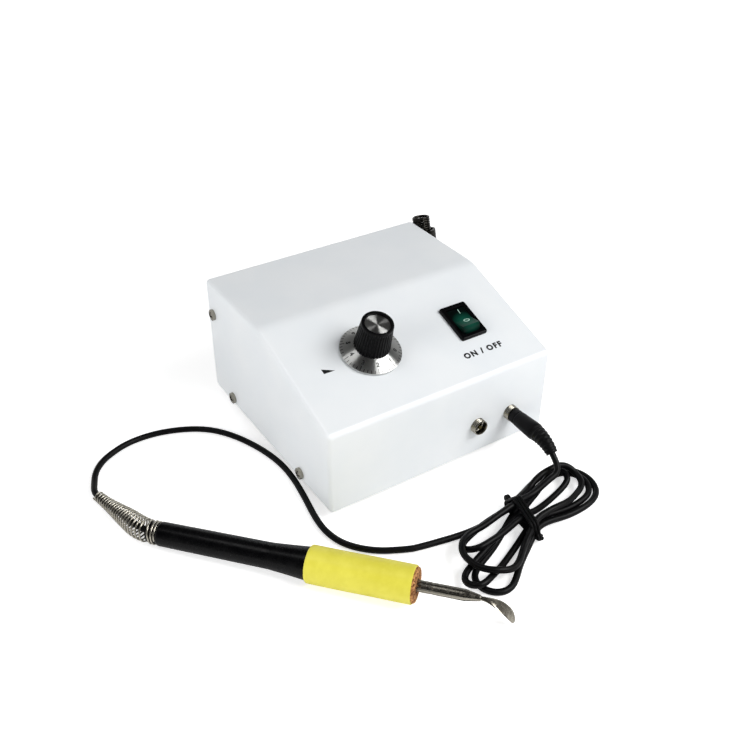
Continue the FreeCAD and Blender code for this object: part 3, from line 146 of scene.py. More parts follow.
def rear_frame(x, z):
    return axes((x, rear_face_y, z), (1, 0, 0), (0, 0, -1), (0, 1, 0))


def side_frame(side, y, z, out=0.0):
    return axes((side * (side_x + out), y, z), (0, 0, -side), (0, 1, 0), (side, 0, 0))


def pen_frame():
    """X along the pen from its rear face to the tip, Z up across it."""
    ct, st, cy, sy = math.cos(pen_tilt), math.sin(pen_tilt), math.cos(pen_yaw), math.sin(pen_yaw)
    x, y = np.array((ct * cy, ct * sy, st)), np.array((-sy, cy, 0.0))
    lift = floor_z + handle_rear_r / ct + 0.02
    return axes((*pen_rear, lift), x, y, np.cross(x, y))


def along_pen():
    """The pen's frame with Z along the pen, for turned pieces."""
    pen = pen_frame()
    return axes(pen[:3, 3], pen[:3, 1], pen[:3, 2], pen[:3, 0])


def holder_frame():
    """Z down the holder from its mouth."""
    lean = math.radians(15.0)
    c, n = math.cos(lean), math.sin(lean)
    return axes((68.856, 57.5, 65.5), (1, 0, 0), (0, -c, n), (0, -n, -c))


WORLD = np.eye(4)


# surfaces

def sheet(points, uv=None):
    """A sheet of quads over a grid of points, rows by columns, with a place on the pattern for each."""
    rows, cols = points.shape[:2]
    index = np.arange(rows * cols).reshape(rows, cols)
    quads = np.stack([index[:-1, :-1], index[:-1, 1:], index[1:, 1:], index[1:, :-1]], -1)
    if uv is None:
        uv = np.stack(np.meshgrid(np.arange(rows), np.arange(cols), indexing="ij"), -1).astype(float)
    return points.reshape(-1, 3), quads.reshape(-1, 4), uv.reshape(-1, 2)


def rounded(profile, radius, steps=4):
    """A line of (radius, height) corners, with each inner corner replaced by points of a quadratic arc."""
    corners = np.array(profile, float)
    out = [corners[:1]]
    t = np.linspace(0, 1, steps + 1)[:, None]
    for before, at, after in zip(corners[:-2], corners[1:-1], corners[2:]):
        to_before, to_after = before - at, after - at
        reach = min(radius, 0.45 * np.linalg.norm(to_before), 0.45 * np.linalg.norm(to_after))
        start = at + to_before / np.linalg.norm(to_before) * reach
        end = at + to_after / np.linalg.norm(to_after) * reach
        out.append((1 - t) ** 2 * start + 2 * t * (1 - t) * at + t * t * end)
    out.append(corners[-1:])
    return np.concatenate(out)


def lathe(profile, sides=96, change=None):
    """A profile of (radius, height) turned round Z; change moves a radius by height and angle."""
    line = np.array(profile, float)
    angle = np.linspace(0, TAU, sides + 1)
    r = np.repeat(line[:, :1], sides + 1, 1)
    h = np.repeat(line[:, 1:], sides + 1, 1)
    a = np.repeat(angle[None], len(line), 0)
    if change is not None:
        r = change(r, h, a)
    grown = np.concatenate([[0], np.cumsum(np.linalg.norm(np.diff(line, axis=0), axis=1))])
    uv = np.stack([a / TAU, np.repeat(grown[:, None], sides + 1, 1) / 100], -1)
    return sheet(np.stack([r * np.cos(a), r * np.sin(a), h], -1), uv)


def carried(path, across, radius, sides=12, ends=True):
    """A round section carried along a path, square to it; across says where its first corner points."""
    way = np.gradient(path, axis=0)
    way /= np.linalg.norm(way, axis=1)[:, None]
    across = np.broadcast_to(np.asarray(across, float), path.shape)
    one = across - (across * way).sum(1)[:, None] * way
    one /= np.linalg.norm(one, axis=1)[:, None]
    two = np.cross(way, one)
    angle = np.linspace(0, TAU, sides + 1)
    size = np.broadcast_to(radius, (len(path),))[:, None, None]
    ring = one[:, None] * np.cos(angle)[None, :, None] + two[:, None] * np.sin(angle)[None, :, None]
    points = path[:, None] + size * ring
    if ends:
        points = np.concatenate([np.repeat(path[:1, None], sides + 1, 1), points,
                                 np.repeat(path[-1:, None], sides + 1, 1)])
    length = np.concatenate([[0], np.cumsum(np.linalg.norm(np.diff(path, axis=0), axis=1))])
    if ends:
        length = np.concatenate([length[:1], length, length[-1:]])
    uv = np.stack([np.repeat(length[:, None], sides + 1, 1) / 100,
                   np.repeat(angle[None] / TAU, len(length), 0)], -1)
    return sheet(points, uv)


def slab(outline, low, high, edge=0.3):
    """A plate over a closed outline that bulges nowhere inwards: its wall, a rounded upper edge and both faces."""
    middle = outline.mean(0)
    shrink = [0.0, 1.0]
    rings = [(0.0, low), (1.0, low)]
    t = np.linspace(0, 1, 5) * math.pi / 2
    reach = np.linalg.norm(outline - middle, axis=1).mean()
    rings += [(1 - edge / reach * (1 - math.cos(a)), high - edge + edge * math.sin(a)) for a in t]
    rings.append((0.0, high))
    del shrink
    closed = np.concatenate([outline, outline[:1]])
    rows = [np.column_stack([middle + (closed - middle) * share, np.full(len(closed), h)])
            for share, h in rings]
    return sheet(np.stack(rows))


def round_corners(size_x, size_y, corner, steps=6):
    """The outline of a rectangle with round corners, centred on the origin."""
    t = np.linspace(0, math.pi / 2, steps + 1)
    arc = np.stack([np.cos(t), np.sin(t)], -1) * corner
    parts = []
    for k, (sx, sy) in enumerate(((1, 1), (-1, 1), (-1, -1), (1, -1))):
        c, n = round(math.cos(k * math.pi / 2)), round(math.sin(k * math.pi / 2))
        turned = arc @ np.array(((c, n), (-n, c)))
        parts.append(turned + np.array((sx * (size_x / 2 - corner), sy * (size_y / 2 - corner))))
    return np.concatenate(parts)


def ring_wall(outline_out, outline_in, levels):
    """A band between an outer and an inner outline; levels gives (share towards the inner one, height)."""
    a = np.concatenate([outline_out, outline_out[:1]])
    b = np.concatenate([outline_in, outline_in[:1]])
    rows = [np.column_stack([a + (b - a) * share, np.full(len(a), h)]) for share, h in levels]
    return sheet(np.stack(rows))


# pieces

def piece(name, sheets, place, body, finish, stands_for=(), sharp=32.0):
    """Join sheets into one mesh at its place, close it, shade it and fix it to its body."""
    points, quads, uvs, count = [], [], [], 0
    for p, q, uv in sheets:
        points.append(p @ place[:3, :3].T + place[:3, 3])
        quads.append(q + count)
        uvs.append(uv)
        count += len(p)
    return mesh_piece(name, np.concatenate(points) * MM, np.concatenate(quads), np.concatenate(uvs),
                      body, finish, stands_for, sharp)


def mesh_piece(name, points, faces, uv, body, finish, stands_for=(), sharp=32.0):
    mesh = bpy.data.meshes.new(name)
    mesh.from_pydata(points.tolist(), [], faces.tolist())
    layer = mesh.uv_layers.new(name="UVMap")
    layer.data.foreach_set("uv", uv[faces.ravel()].astype(np.float32).ravel())
    tidy_mesh(mesh, sharp)
    obj = bpy.data.objects.new(name, mesh)
    bpy.context.scene.collection.objects.link(obj)
    mesh.materials.append(finish)
    return fixed(obj, body, stands_for)


def tidy_mesh(mesh, sharp):
    """Merge doubled points, drop empty faces, point the faces out and shade by angle."""
    work = bmesh.new()
    work.from_mesh(mesh)
    bmesh.ops.remove_doubles(work, verts=work.verts, dist=2e-6)
    bmesh.ops.dissolve_degenerate(work, edges=work.edges, dist=1e-7)
    bmesh.ops.recalc_face_normals(work, faces=work.faces)
    work.to_mesh(mesh)
    work.free()
    mesh.shade_smooth()
    mesh.set_sharp_from_angle(angle=math.radians(sharp))


def fixed(obj, body, stands_for=()):
    if stands_for:
        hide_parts(*stands_for)
    if body:
        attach(obj, body)
    return obj


def refined(name, node, body, finish, sharp=32.0, bevel=0.0):
    """A copy of a node's own mesh, merged, with its edges eased and its flat faces shaded flat."""
    mesh = frame["nodes"][node].data.copy()
    mesh.name = name
    tidy_mesh(mesh, sharp)
    obj = bpy.data.objects.new(name, mesh)
    bpy.context.scene.collection.objects.link(obj)
    mesh.materials.clear()
    mesh.materials.append(finish)
    if bevel:
        ease = obj.modifiers.new("eased edges", "BEVEL")
        ease.width, ease.segments, ease.limit_method = bevel * MM, 2, "ANGLE"
        ease.angle_limit = math.radians(sharp)
    weigh = obj.modifiers.new("flat faces", "WEIGHTED_NORMAL")
    weigh.keep_sharp = True
    return fixed(obj, body, (node,))


def lettering(name, words, size, place, body, finish, spread=1.0, raise_by=0.03, weight=0.045):
    """Plain printed words, centred on their place, as a thin mesh."""
    curve = bpy.data.curves.new(name, "FONT")
    curve.body = words
    curve.size = size
    curve.space_character = spread
    curve.align_x, curve.align_y = "CENTER", "CENTER"
    curve.extrude = raise_by / 2
    curve.offset = weight * size
    curve.resolution_u = 3
    text = bpy.data.objects.new(name, curve)
    bpy.context.scene.collection.objects.link(text)
    mesh = bpy.data.meshes.new_from_object(text)
    bpy.data.objects.remove(text)
    lift = np.eye(4)
    lift[2, 3] = raise_by / 2
    mesh.transform(Matrix((place @ lift).tolist()))
    mesh.transform(Matrix.Scale(MM, 4))
    mesh.materials.clear()
    mesh.materials.append(finish)
    obj = bpy.data.objects.new(name, mesh)
    bpy.context.scene.collection.objects.link(obj)
    return fixed(obj, body)


# materials

def add_node(tree, kind, inputs=None, links=None, **settings):
    """Add one shader node with its settings, its input values and its links."""
    made = tree.nodes.new("ShaderNode" + kind)
    for key, value in settings.items():
        setattr(made, key, value)
    for key, value in (inputs or {}).items():
        made.inputs[key].default_value = value
    for key, source in (links or {}).items():
        tree.links.new(source, made.inputs[key])
    return made


def finish_of(name, base, metallic=0.0, roughness=0.5, **sockets):
    """A named finish: one principled shader whose plain values sit on its own sockets."""
    made = bpy.data.materials.new(name)
    made.use_nodes = True
    tree = made.node_tree
    shader = tree.nodes["Principled BSDF"]
    shader.inputs["Base Color"].default_value = colour(base)
    shader.inputs["Metallic"].default_value = metallic
    shader.inputs["Roughness"].default_value = roughness
    for key, value in sockets.items():
        shader.inputs[key.replace("_", " ")].default_value = value
    return made, tree, shader


def place_of(tree, stretch=(1, 1, 1)):
    """Object coordinates in millimetres, stretched where a grain runs one way."""
    where = add_node(tree, "TexCoord").outputs["Object"]
    scale = tuple(s / MM for s in stretch)
    return add_node(tree, "Mapping", {"Scale": scale}, {"Vector": where}).outputs["Vector"]


def blotches(tree, where, size_mm, detail=3.0, rough=0.55):
    """Noise whose patches are about size_mm across."""
    return add_node(tree, "TexNoise", {"Scale": 1.0 / size_mm, "Detail": detail, "Roughness": rough},
                    {"Vector": where}).outputs["Fac"]


def blend_colours(tree, shader, share, first, second, low=0.35, high=0.65):
    """Run the base colour from first to second as a pattern goes from low to high."""
    ramp = add_node(tree, "ValToRGB", links={"Fac": share})
    ramp.color_ramp.elements[0].position, ramp.color_ramp.elements[0].color = low, colour(first)
    ramp.color_ramp.elements[1].position, ramp.color_ramp.elements[1].color = high, colour(second)
    tree.links.new(ramp.outputs["Color"], shader.inputs["Base Color"])
    return ramp


def vary_roughness(tree, shader, share, low, high):
    spread = add_node(tree, "MapRange", {"From Min": 0.3, "From Max": 0.7, "To Min": low, "To Max": high},
                      {"Value": share})
    tree.links.new(spread.outputs["Result"], shader.inputs["Roughness"])


def bump(tree, shader, height, depth_mm, strength=1.0):
    """Raise the surface by a pattern; depth_mm is its height from trough to crest."""
    made = add_node(tree, "Bump", {"Strength": strength, "Distance": depth_mm * MM}, {"Height": height})
    tree.links.new(made.outputs["Normal"], shader.inputs["Normal"])


def powder_coat():
    """Powder coat, sprayed and baked: a fine orange peel of about 1.2 mm and a soft sheen."""
    made, tree, shader = finish_of("powder_coat", "#eaeef0", roughness=0.34)
    where = place_of(tree)
    peel = blotches(tree, where, 1.2, 2.0)
    vary_roughness(tree, shader, blotches(tree, where, 14.0), 0.3, 0.4)
    blend_colours(tree, shader, blotches(tree, where, 30.0), "#e8ecef", "#eceff1")
    bump(tree, shader, peel, 0.012)
    return made


def zinc_plate():
    """Zinc-plated steel sheet: cool grey with soft cloudy patches some 6 mm across."""
    made, tree, shader = finish_of("zinc_plate", "#b9bbb8", metallic=1.0)
    where = place_of(tree)
    cloud = blotches(tree, where, 6.0, 4.0)
    blend_colours(tree, shader, cloud, "#a9aba9", "#c6c7c3")
    vary_roughness(tree, shader, cloud, 0.34, 0.5)
    bump(tree, shader, blotches(tree, where, 0.5), 0.004)
    return made


def nickel(name="nickel_plate", first="#8f8b82", second="#bdb9ae", low=0.2, high=0.34, grain=0.8):
    """Nickel plating over a turned part: warm grey, with fine marks about grain mm apart."""
    made, tree, shader = finish_of(name, second, metallic=1.0)
    where = place_of(tree)
    mark = blotches(tree, where, grain, 5.0, 0.6)
    blend_colours(tree, shader, mark, first, second)
    vary_roughness(tree, shader, mark, low, high)
    bump(tree, shader, mark, 0.004)
    return made


def rubber(name, base, pale, roughness=0.62, grain=0.35):
    """Moulded black rubber: matt, with a fine spark-eroded grain that scatters the light."""
    made, tree, shader = finish_of(name, base, roughness=roughness, Specular_IOR_Level=0.4)
    where = place_of(tree)
    grit = blotches(tree, where, grain, 4.0)
    blend_colours(tree, shader, blotches(tree, where, 5.0), base, pale)
    bump(tree, shader, grit, 0.02)
    return made


def moulding(name, base, pale, roughness=0.4, grain=0.5, gloss=0.12):
    """Injection-moulded plastic: a light texture from the tool, and dust that dulls it in patches."""
    made, tree, shader = finish_of(name, base, roughness=roughness, Specular_IOR_Level=gloss)
    where = place_of(tree)
    blend_colours(tree, shader, blotches(tree, where, 9.0), base, pale)
    vary_roughness(tree, shader, blotches(tree, where, 3.0), roughness - 0.06, roughness + 0.08)
    bump(tree, shader, blotches(tree, where, grain), 0.008)
    return made


def spun_aluminium(name, base="#d2d3d1", roughness=0.33):
    """Spun aluminium: tool marks run round it, so light fans out from its middle in bright sectors."""
    made, tree, shader = finish_of(name, base, metallic=1.0, roughness=roughness, Anisotropic=1.0,
                                   Anisotropic_Rotation=0.25)
    turn = add_node(tree, "UVMap", uv_map="UVMap").outputs["UV"]
    apart = add_node(tree, "SeparateXYZ", links={"Vector": turn})
    marks = add_node(tree, "CombineXYZ", links={"Y": apart.outputs["Y"]})
    rings = add_node(tree, "TexNoise", {"Scale": 700.0, "Detail": 3.0}, {"Vector": marks.outputs["Vector"]})
    blend_colours(tree, shader, rings.outputs["Fac"], "#c4c5c3", "#dededb", 0.3, 0.7)
    bump(tree, shader, rings.outputs["Fac"], 0.006)
    tangent = add_node(tree, "Tangent", direction_type="UV_MAP", uv_map="UVMap")
    tree.links.new(tangent.outputs["Tangent"], shader.inputs["Tangent"])
    return made


def green_acrylic():
    """Tinted acrylic over a lamp: deep green with a wet gloss. A painted glow makes it paler in the middle, over the
    lamp's chamber, and painted shade turns it near black towards its edges.
    """
    made, tree, shader = finish_of("green_acrylic", "#0d4a3a", roughness=0.28, Specular_IOR_Level=0.08)
    x, y, z = (slope_frame(*switch_at) @ np.array((0.4, -1.9, 3.0, 1)))[:3] * MM
    where = add_node(tree, "TexCoord").outputs["Object"]
    centred = add_node(tree, "Mapping", {"Location": (-x, -y, -z)}, {"Vector": where}).outputs["Vector"]
    sized = add_node(tree, "Mapping", {"Scale": (1 / 0.0078,) * 3}, {"Vector": centred}).outputs["Vector"]
    glow = add_node(tree, "TexGradient", links={"Vector": sized}, gradient_type="SPHERICAL").outputs["Fac"]
    # painted glow and shade: paler green over the lamp's chamber, near black away from it
    blend_colours(tree, shader, glow, "#010706", "#104e3e", 0.05, 0.72)
    bump(tree, shader, blotches(tree, place_of(tree), 2.5), 0.01)
    return made


def clear_glass():
    """Glass of a neon lamp or a fuse: clear, with a faint waviness."""
    made, tree, shader = finish_of("clear_glass", "#e8e4da", roughness=0.05, Transmission_Weight=0.85)
    bump(tree, shader, blotches(tree, place_of(tree), 2.0), 0.01)
    return made


def yellow_sleeve():
    """Heat-shrunk yellow sleeving: a soft gloss with slight creases and rubbed patches."""
    made, tree, shader = finish_of("yellow_sleeve", "#e4da4c", roughness=0.42, Subsurface_Weight=0.05,
                                   Subsurface_Radius=(0.002, 0.002, 0.001))
    where = place_of(tree)
    crease = blotches(tree, where, 7.0, 4.0)
    blend_colours(tree, shader, crease, "#dfd547", "#e8df54")
    vary_roughness(tree, shader, blotches(tree, where, 2.0), 0.36, 0.52)
    bump(tree, shader, blotches(tree, where, 4.0, 4.0), 0.09)
    return made


def cork():
    """Pressed cork: granules 0.8 mm across, of several browns, with dark pores between them."""
    made, tree, shader = finish_of("cork", "#b5713c", roughness=0.85, Specular_IOR_Level=0.25)
    where = place_of(tree)
    cells = add_node(tree, "TexVoronoi", {"Scale": 1 / 0.8}, {"Vector": where})
    shade = add_node(tree, "SeparateColor", links={"Color": cells.outputs["Color"]}).outputs["Red"]
    blend_colours(tree, shader, shade, "#5c2f14", "#d39a63", 0.1, 0.9)
    pores = add_node(tree, "TexVoronoi", {"Scale": 1 / 0.8}, {"Vector": where}, feature="DISTANCE_TO_EDGE")
    bump(tree, shader, pores.outputs["Distance"], 0.4)
    return made


def heated_steel(name, base, tint, roughness):
    """Stainless steel after many heatings: a straw and brown tint in patches, polished along."""
    made, tree, shader = finish_of(name, base, metallic=1.0)
    where = place_of(tree)
    patch = blotches(tree, where, 4.0, 5.0)
    blend_colours(tree, shader, patch, base, tint)
    vary_roughness(tree, shader, blotches(tree, where, 1.2), roughness, roughness + 0.14)
    bump(tree, shader, blotches(tree, where, 0.6), 0.006)
    return made


def drawn_steel():
    """A drawn steel tube, heated often: dark and pale streaks painted along it stand for the reflections and shade
    on its polished side; it is dulled in patches.
    """
    made, tree, shader = finish_of("tube_steel", "#8a857a", metallic=1.0)
    turn = add_node(tree, "UVMap", uv_map="UVMap").outputs["UV"]
    long = add_node(tree, "Mapping", {"Scale": (14.0, 1.2, 1.0)}, {"Vector": turn}).outputs["Vector"]
    lines = add_node(tree, "TexNoise", {"Scale": 1.0, "Detail": 3.0}, {"Vector": long}).outputs["Fac"]
    # painted reflections and shade: dark and pale streaks along the tube
    blend_colours(tree, shader, lines, "#35332e", "#b8b3a7", 0.4, 0.6)
    vary_roughness(tree, shader, blotches(tree, place_of(tree), 1.5), 0.2, 0.34)
    bump(tree, shader, lines, 0.01)
    return made


def cord_sheath():
    """Extruded cord sheath: near-black, satin, with faint flow lines along it."""
    made, tree, shader = finish_of("cord_sheath", "#060607", roughness=0.4,
                                   Specular_IOR_Level=0.16)
    turn = add_node(tree, "UVMap", uv_map="UVMap").outputs["UV"]
    long = add_node(tree, "Mapping", {"Scale": (6.0, 24.0, 1.0)}, {"Vector": turn}).outputs["Vector"]
    lines = add_node(tree, "TexNoise", {"Scale": 1.0, "Detail": 3.0}, {"Vector": long}).outputs["Fac"]
    blend_colours(tree, shader, blotches(tree, place_of(tree), 8.0), "#040405", "#09090a")
    vary_roughness(tree, shader, lines, 0.34, 0.48)
    bump(tree, shader, lines, 0.02)
    return made


def plain_print(name, base, roughness=0.5):
    """Screen-printed ink: flat, a little broken at the scale of the paint under it."""
    made, tree, shader = finish_of(name, base, roughness=roughness)
    bump(tree, shader, blotches(tree, place_of(tree), 0.4), 0.01)
    return made


def layered(name, first, second, size_mm, roughness, metallic=0.0, stretch=(1, 1, 1), depth=0.01):
    """A finish of two close colours in patches or, where it is stretched, in layers."""
    made, tree, shader = finish_of(name, first, metallic=metallic, roughness=roughness)
    pattern = blotches(tree, place_of(tree, stretch), size_mm)
    blend_colours(tree, shader, pattern, first, second)
    bump(tree, shader, pattern, depth)
    return made


finishes = {
    "case_paint": powder_coat(),
    "zinc_plate": zinc_plate(),
    "screw_steel": nickel("screw_nickel", "#918d83", "#aeaa9f", 0.16, 0.26, 0.3),
    "foot_rubber": rubber("foot_rubber", "#0c0c0c", "#141414"),
    "black_moulding": moulding("black_moulding", "#030304", "#060607", 0.4),
    "gloss_black": moulding("gloss_black", "#030304", "#070709", 0.2, 2.0),
    "spun_aluminium": spun_aluminium("spun_aluminium"),
    "green_rocker": green_acrylic(),
    "clear_lamp": clear_glass(),
    # brass: yellow metal, turned, gone dull in use
    "brass": layered("brass", "#4d4529", "#6e643e", 1.0, 0.4, 1.0, depth=0.003),
    # tin: dull silver dip on solder lugs
    "tin": layered("tin", "#a7a7a2", "#c4c4be", 0.8, 0.38, 1.0, depth=0.01),
    "yellow_sleeve": yellow_sleeve(),
    "cork": cork(),
    "tube_steel": drawn_steel(),
    "tip_steel": heated_steel("tip_steel", "#8f8a7e", "#b9b3a5", 0.14),
    "spring_steel": nickel("spring_steel", "#b9b4a7", "#d0cbbf", 0.22, 0.3, 3.0),
    # holder_plate: dark steel, darkened further to near black as painted shade for the holder's dark mouth and
    # shaded flank
    "holder_plate": nickel("holder_plate", "#191816", "#3b3935", 0.2, 0.34, 2.0),
    "cord_sheath": cord_sheath(),
    "tie_sheath": moulding("tie_sheath", "#060607", "#0b0b0c", 0.45),
    # varnished laminations: thin dark sheets that show as lines up the core
    "lamination": layered("lamination", "#34353a", "#4c4d52", 0.7, 0.5, 0.8, (1, 8, 1)),
    # natural nylon: milky, soft edges
    "bobbin_nylon": layered("bobbin_nylon", "#e2dccb", "#ece7d9", 5.0, 0.45),
    # polyester tape: glossy, amber yellow, in wraps up the winding
    "tape": layered("tape", "#c9a22c", "#dcb942", 2.0, 0.22, 0.0, (0.2, 0.2, 2)),
    # solder mask over copper: green with faint raised tracks
    "board_laminate": layered("board_laminate", "#145a2c", "#1b6b37", 2.5, 0.3),
    # alumina: chalky white
    "ceramic": layered("ceramic", "#e3e0d8", "#efece6", 1.5, 0.7),
}
panel_ink = plain_print("panel_ink", "#040405")
dial_ink = plain_print("dial_ink", "#1a1a1c", 0.4)
handle_gloss = moulding("handle_gloss", "#030304", "#060607", 0.26, 3.0, 0.16)
switch_ink = plain_print("switch_ink", "#bfe8d8", 0.35)


# camera, floor and lights

def camera():
    """The photograph's view: place and directions found from the case's edges."""
    lens = bpy.data.cameras.new("photograph")
    lens.sensor_width = 36.0
    lens.lens = 44.779
    seen = bpy.data.objects.new("photograph", lens)
    at = (-0.214778, -0.327020, 0.291383)
    right = (0.83818924, -0.54533598, 0.00689004)
    up = (0.30806584, 0.48385099, 0.81913592)
    back = (-0.45003804, -0.68446833, 0.57355808)
    seen.matrix_world = Matrix([[right[i], up[i], back[i], at[i]] for i in range(3)] + [[0, 0, 0, 1]])
    bpy.context.scene.collection.objects.link(seen)
    bpy.context.scene.camera = seen


def floor():
    """A pale floor that keeps the shadow under the object and is near white elsewhere."""
    made = bpy.data.materials.new("pale_floor")
    made.use_nodes = True
    tree = made.node_tree
    tree.nodes.clear()
    matt = add_node(tree, "BsdfDiffuse", {"Color": colour("#f4f4f4")})
    where = add_node(tree, "TexCoord").outputs["Object"]
    far = add_node(tree, "VectorMath", links={0: where}, operation="LENGTH").outputs["Value"]
    rise = add_node(tree, "MapRange", {"From Min": 0.3, "From Max": 1.2, "To Min": 0.6, "To Max": 1.0},
                    {"Value": far}, interpolation_type="SMOOTHSTEP")
    glow = add_node(tree, "Emission", {"Color": (1, 1, 1, 1)}, {"Strength": rise.outputs["Result"]})
    path = add_node(tree, "LightPath")
    both = add_node(tree, "AddShader", links={0: matt.outputs[0], 1: glow.outputs[0]})
    mix = add_node(tree, "MixShader", links={"Fac": path.outputs["Is Camera Ray"], 1: matt.outputs[0],
                                             2: both.outputs[0]})
    end = add_node(tree, "OutputMaterial", links={"Surface": mix.outputs[0]})
    end.is_active_output = True
    mesh = bpy.data.meshes.new("floor")
    reach, z = 3.0, floor_z * MM
    mesh.from_pydata([(-reach, -reach, z), (reach, -reach, z), (reach, reach, z), (-reach, reach, z)],
                     [], [(0, 1, 2, 3)])
    mesh.materials.append(made)
    ground = bpy.data.objects.new("floor", mesh)
    bpy.context.scene.collection.objects.link(ground)


def lamp(name, at, target, size, power, in_gloss=True):
    """A large soft lamp at a place, turned to a target; one that is out of the gloss only fills the shade."""
    light = bpy.data.lights.new(name, "AREA")
    light.shape = "RECTANGLE"
    light.size, light.size_y = size
    light.energy = power
    obj = bpy.data.objects.new(name, light)
    obj.visible_glossy = in_gloss
    way = Matrix.Translation(at).to_translation() - Matrix.Translation(target).to_translation()
    obj.rotation_mode = "QUATERNION"
    obj.rotation_quaternion = way.to_track_quat("Z", "Y")
    obj.location = at
    bpy.context.scene.collection.objects.link(obj)


def world():
    """A studio: white walls low down, dimmer in front, a dark ceiling, and white to the camera."""
    made = bpy.data.worlds.new("studio")
    made.use_nodes = True
    bpy.context.scene.world = made
    tree = made.node_tree
    tree.nodes.clear()
    way = add_node(tree, "TexCoord").outputs["Generated"]
    parts = add_node(tree, "SeparateXYZ", links={"Vector": way})
    wall = add_node(tree, "MapRange", {"From Min": 0.12, "From Max": 0.55, "To Min": 1.0, "To Max": 0.06},
                    {"Value": parts.outputs["Z"]}, interpolation_type="SMOOTHSTEP")
    front = add_node(tree, "MapRange", {"From Min": -0.3, "From Max": 0.3, "To Min": 0.15, "To Max": 1.0},
                     {"Value": parts.outputs["Y"]}, interpolation_type="SMOOTHSTEP")
    path = add_node(tree, "LightPath")
    other = add_node(tree, "Math", {0: 1.0}, {1: path.outputs["Is Glossy Ray"]}, operation="SUBTRACT")
    share = add_node(tree, "Math", links={0: front.outputs["Result"], 1: other.outputs[0]}, operation="MAXIMUM")
    lit = add_node(tree, "Math", links={0: wall.outputs["Result"], 1: share.outputs[0]}, operation="MULTIPLY")
    seen = add_node(tree, "Math", links={0: path.outputs["Is Camera Ray"], 1: path.outputs["Is Transmission Ray"]},
                    operation="MAXIMUM")
    most = add_node(tree, "Math", links={0: seen.outputs[0], 1: lit.outputs[0]}, operation="MAXIMUM")
    sky = add_node(tree, "Background", {"Color": (1, 1, 1, 1)}, {"Strength": most.outputs[0]})
    add_node(tree, "OutputWorld", links={"Surface": sky.outputs[0]})


camera()
floor()
world()
lamp("right_front", (0.45, -0.58, 0.70), (0, -0.02, 0.04), (0.8, 0.42), 8.3)
lamp("overhead", (-0.36, 0.06, 0.84), (0, 0, 0.04), (0.34, 0.34), 0.9)
lamp("left", (-0.98, -0.18, 0.34), (0, 0, 0.02), (0.5, 0.5), 4.4, False)
bpy.context.scene.view_settings.view_transform = "Standard"


# cords

def spline_path(name, controls, resolution=8):
    """The smooth line that a cord's control points give, as points in metres."""
    curve = bpy.data.curves.new(name, "CURVE")
    curve.dimensions = "3D"
    line = curve.splines.new("NURBS")
    line.points.add(len(controls) - 1)
    flat = np.column_stack([np.array(controls, float) * MM, np.ones(len(controls))])
    line.points.foreach_set("co", flat.astype(np.float32).ravel())
    line.order_u = 3
    line.use_endpoint_u = True
    line.resolution_u = resolution
    holder = bpy.data.objects.new(name, curve)
    bpy.context.scene.collection.objects.link(holder)
    mesh = bpy.data.meshes.new_from_object(holder)
    path = np.zeros(len(mesh.vertices) * 3, np.float32)
    mesh.vertices.foreach_get("co", path)
    bpy.data.objects.remove(holder)
    bpy.data.meshes.remove(mesh)
    return path.reshape(-1, 3).astype(float)


def length_of(path):
    return float(np.linalg.norm(np.diff(path, axis=0), axis=1).sum())


def cord_piece(name, path, stands_for):
    """A round tube along a path given in metres."""
    points, quads, uv = carried(path / MM, (0, 0, 1), cord_r, 14)
    return mesh_piece(name, points * MM, quads, uv, None, finishes["cord_sheath"], stands_for)


waist = np.array((11.0, -107.0))
hank_turn = math.radians(13.0)
along_hank = np.array((math.cos(hank_turn), math.sin(hank_turn)))
across_hank = np.array((-math.sin(hank_turn), math.cos(hank_turn)))
strand_gap = 3.2
waist_lift = 1.5
hank_spacing = 3.0

# each half turn: side, place across the waist where it comes and goes, direction, reach, half width, belly
half_turns = ((1, 8.6, -7.6, 10, 44.9, 13.8, 1.0), (-1, -7.6, 5.4, 211, 46.8, 8.8, -1.2),
              (1, 5.4, -4.4, 10, 41.8, 10.2, 1.0), (-1, -4.4, 2.2, 203, 49.5, 5.2, 0.0),
              (1, 2.2, -1.2, 20, 37.0, 4.3, 0.0), (-1, -1.2, 6.4, 184, 35.5, 5.4, 1.0),
              (1, 6.4, -6.0, 13, 39.6, 7.8, 2.6), (-1, -6.0, 5.0, 200, 41.5, 13.2, -0.8))


def lobe(side, v_from, v_to, direction, reach, half, belly):
    """Control points of a half turn: out from the waist, round an arc of the half width, and back."""
    angle = math.radians(direction)
    out = np.array((math.cos(angle), math.sin(angle)))
    up = np.array((-out[1], out[0])) * side * (1 if v_from > v_to else -1)
    start, end, middle = across_hank * v_from, across_hank * v_to, out * (reach - half)
    first, last = middle + up * half, middle - up * half
    points = [start + (first - start) * share + up * belly * bulge for share, bulge in ((0.3, 0.4), (0.66, 1.0))]
    for turn in (-90, -54, -18, 18, 54, 90):
        a = math.radians(turn)
        wide = 1.055 if abs(turn) < 90 else 1.0
        points.append(middle + out * half * wide * math.cos(a) - up * half * wide * math.sin(a))
    points += [end + (last - end) * share - up * belly * bulge for share, bulge in ((0.66, 1.0), (0.3, 0.4))]
    return points


def even_steps(path, step):
    """Points at equal steps along a line."""
    grown = np.concatenate([[0], np.cumsum(np.linalg.norm(np.diff(path, axis=0), axis=1))])
    at = np.linspace(0, grown[-1], max(2, round(grown[-1] / step)) + 1)
    return np.stack([np.interp(at, grown, column) for column in path.T], -1)


